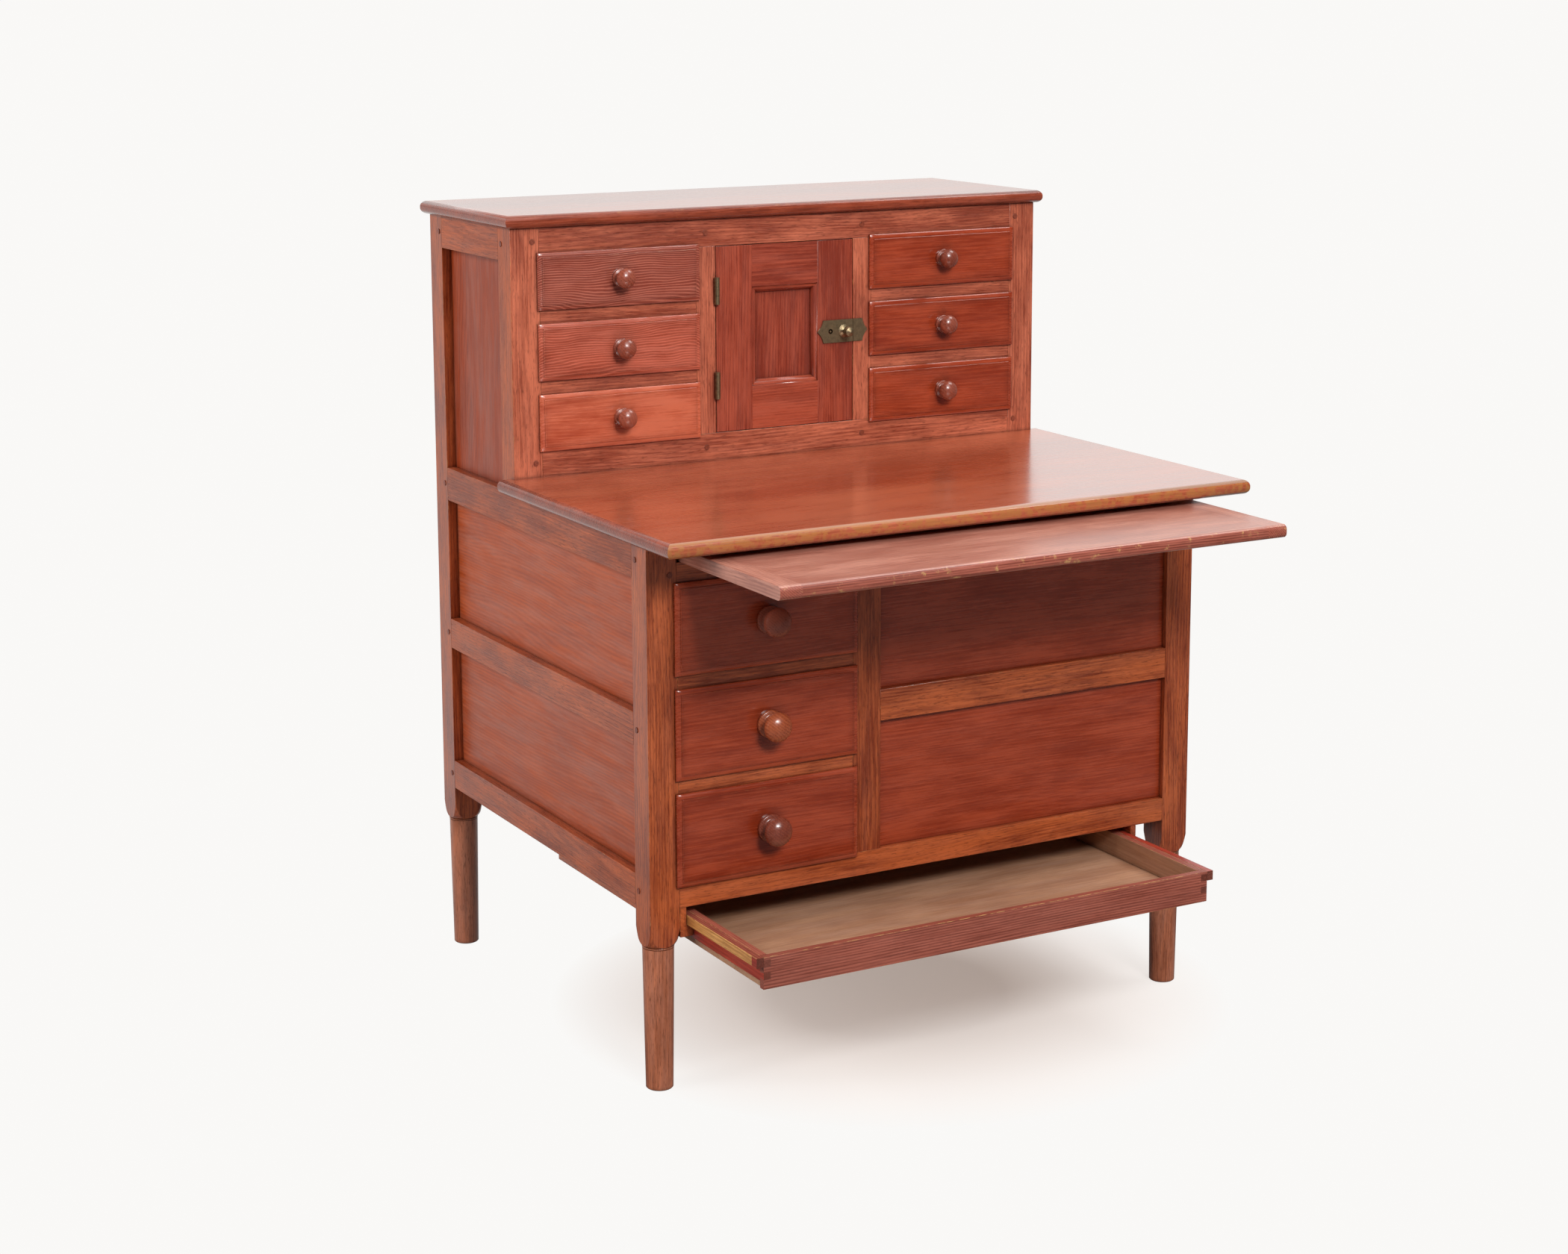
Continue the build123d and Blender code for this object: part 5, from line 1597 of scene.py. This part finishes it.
    def _world(self) -> None:
        """The backdrop where the camera looks and where polish mirrors it, and a dim light elsewhere."""
        world = bpy.data.worlds.new("studio")
        bpy.context.scene.world = world
        world.use_nodes = True
        shader = Shader.of_tree(world.node_tree)
        path = shader.add("ShaderNodeLightPath").outputs
        glossy = path["Is Glossy Ray"]
        way = shader.add("ShaderNodeTexCoord").outputs["Generated"]
        mirrored = shader.math("MULTIPLY", glossy, shader.span(shader.axis(way, 1), *self.sky_front_fade))
        height = shader.span(shader.axis(way, 2), *self.sky_height_fade, *self.sky_mirror)
        beside = shader.span(shader.axis(way, 0), *self.sky_left_fade, self.left_mirror, 1.0)
        change = shader.math("SUBTRACT", shader.math("MULTIPLY", height, beside), 1.0)
        strength = shader.math("MULTIPLY_ADD", glossy, change, 1.0)
        seen = shader.math("MAXIMUM", path["Is Camera Ray"], path["Is Transmission Ray"])
        mix = shader.add("ShaderNodeMixShader")
        shader.join(shader.math("MAXIMUM", seen, mirrored), mix.inputs[0])
        lights = ((1.0, 1.0, 1.0), self.ambient), (self.backdrop, strength)
        for socket, (colour, power) in zip(mix.inputs[1:], lights):
            light = shader.add("ShaderNodeBackground")
            light.inputs["Color"].default_value = rgba(colour)
            shader.join(power, light.inputs["Strength"])
            shader.join(light.outputs[0], socket)
        shader.join(mix.outputs[0], shader.add("ShaderNodeOutputWorld").inputs["Surface"])

    def _hang(self, lamp: Lamp) -> None:
        """Hang one lamp and aim it at the desk.

        Args:
            lamp: The lamp.
        """
        data = bpy.data.lights.new(lamp.name, "AREA")
        data.size = lamp.size
        data.energy = lamp.power
        thing = bpy.data.objects.new(lamp.name, data)
        thing.location = lamp.place
        thing.visible_glossy = lamp.mirrored
        thing.rotation_mode = "QUATERNION"
        thing.rotation_quaternion = (Vector(self.aim) - Vector(lamp.place)).to_track_quat("-Z", "Y")
        bpy.context.scene.collection.objects.link(thing)

    def _camera(self) -> None:
        """The camera in front of the desk's left corner, above the gallery's top."""
        data = bpy.data.cameras.new("camera")
        data.lens = self.lens
        data.shift_y = self.shift
        camera = bpy.data.objects.new("camera", data)
        turn = Euler((radians(90 - self.pitch), 0, -radians(self.yaw)), "XYZ").to_matrix().to_4x4()
        roll = Matrix.Rotation(-radians(self.roll), 4, "Z")
        camera.matrix_world = Matrix.Translation(self.camera_place) @ turn @ roll
        bpy.context.scene.collection.objects.link(camera)
        bpy.context.scene.camera = camera


# ------------------------------------------------------------------------------ the desk
BIG_KNOB = KnobStyle(
    head_radius=18 * MM, head_depth=19 * MM, collar_radius=17 * MM, collar_thickness=5 * MM,
    waist_radius=10 * MM, projection=33 * MM, stem_radius=6 * MM, stem_length=12 * MM,
)
SMALL_KNOB = KnobStyle(
    head_radius=13 * MM, head_depth=14 * MM, collar_radius=12 * MM, collar_thickness=3.5 * MM,
    waist_radius=7 * MM, projection=24.5 * MM, stem_radius=4 * MM, stem_length=10 * MM,
)


def row_of_drawers(place: str, out: Vector, knob: KnobStyle, faces: Sequence[WoodFinish],
                   knobs: Sequence[WoodFinish], seed: int) -> DrawerSet:
    """One row of three drawers over each other.

    Args:
        place: Where the row is, as its drawers' names say it.
        out: The way that the drawers open.
        knob: The shape of the knobs.
        faces: The fronts' finishes, from the bottom up.
        knobs: The knobs' finishes, from the bottom up.
        seed: Which part of the wood's pattern the first front is cut from.

    Returns:
        The row.
    """
    names = [f"{place}_{level}" for level in ("bottom", "middle", "top")]
    return DrawerSet(names, out, knob, faces, knobs, seed)


def drawer_sets() -> list[DrawerSet]:
    """The desk's rows of drawers.

    Returns:
        The front row, the side row, and the gallery's left and right rows.
    """
    forward, rightward = Vector((0, -1, 0)), Vector((1, 0, 0))
    alike, plain_knobs = [FACE_WOOD] * 3, [KNOB_WOOD] * 3
    figured = [GOLDEN_FACE, BRIGHT_WAVY_WOOD, WAVY_WOOD]
    return [
        row_of_drawers("front_drawer", forward, BIG_KNOB, alike, [KNOB_WOOD, PALE_KNOB, KNOB_WOOD], 60),
        row_of_drawers("side_drawer", rightward, BIG_KNOB, alike, plain_knobs, 80),
        row_of_drawers("gallery_drawer_left", forward, SMALL_KNOB, figured, plain_knobs, 110),
        row_of_drawers("gallery_drawer_right", forward, SMALL_KNOB, alike, plain_knobs, 130),
    ]


def main() -> None:
    """Build and dress the desk, then the studio."""
    logging.basicConfig(level=logging.INFO, format="%(message)s")
    case = (Joinery(), TurnedLegs(), BullnosedTops())
    for assembly in (*case, *drawer_sets(), CupboardDoor(), WorkSlide(), BottomTray()):
        assembly.build()
        assembly.dress()
    Studio().build()


if __name__ == "__main__":
    main()
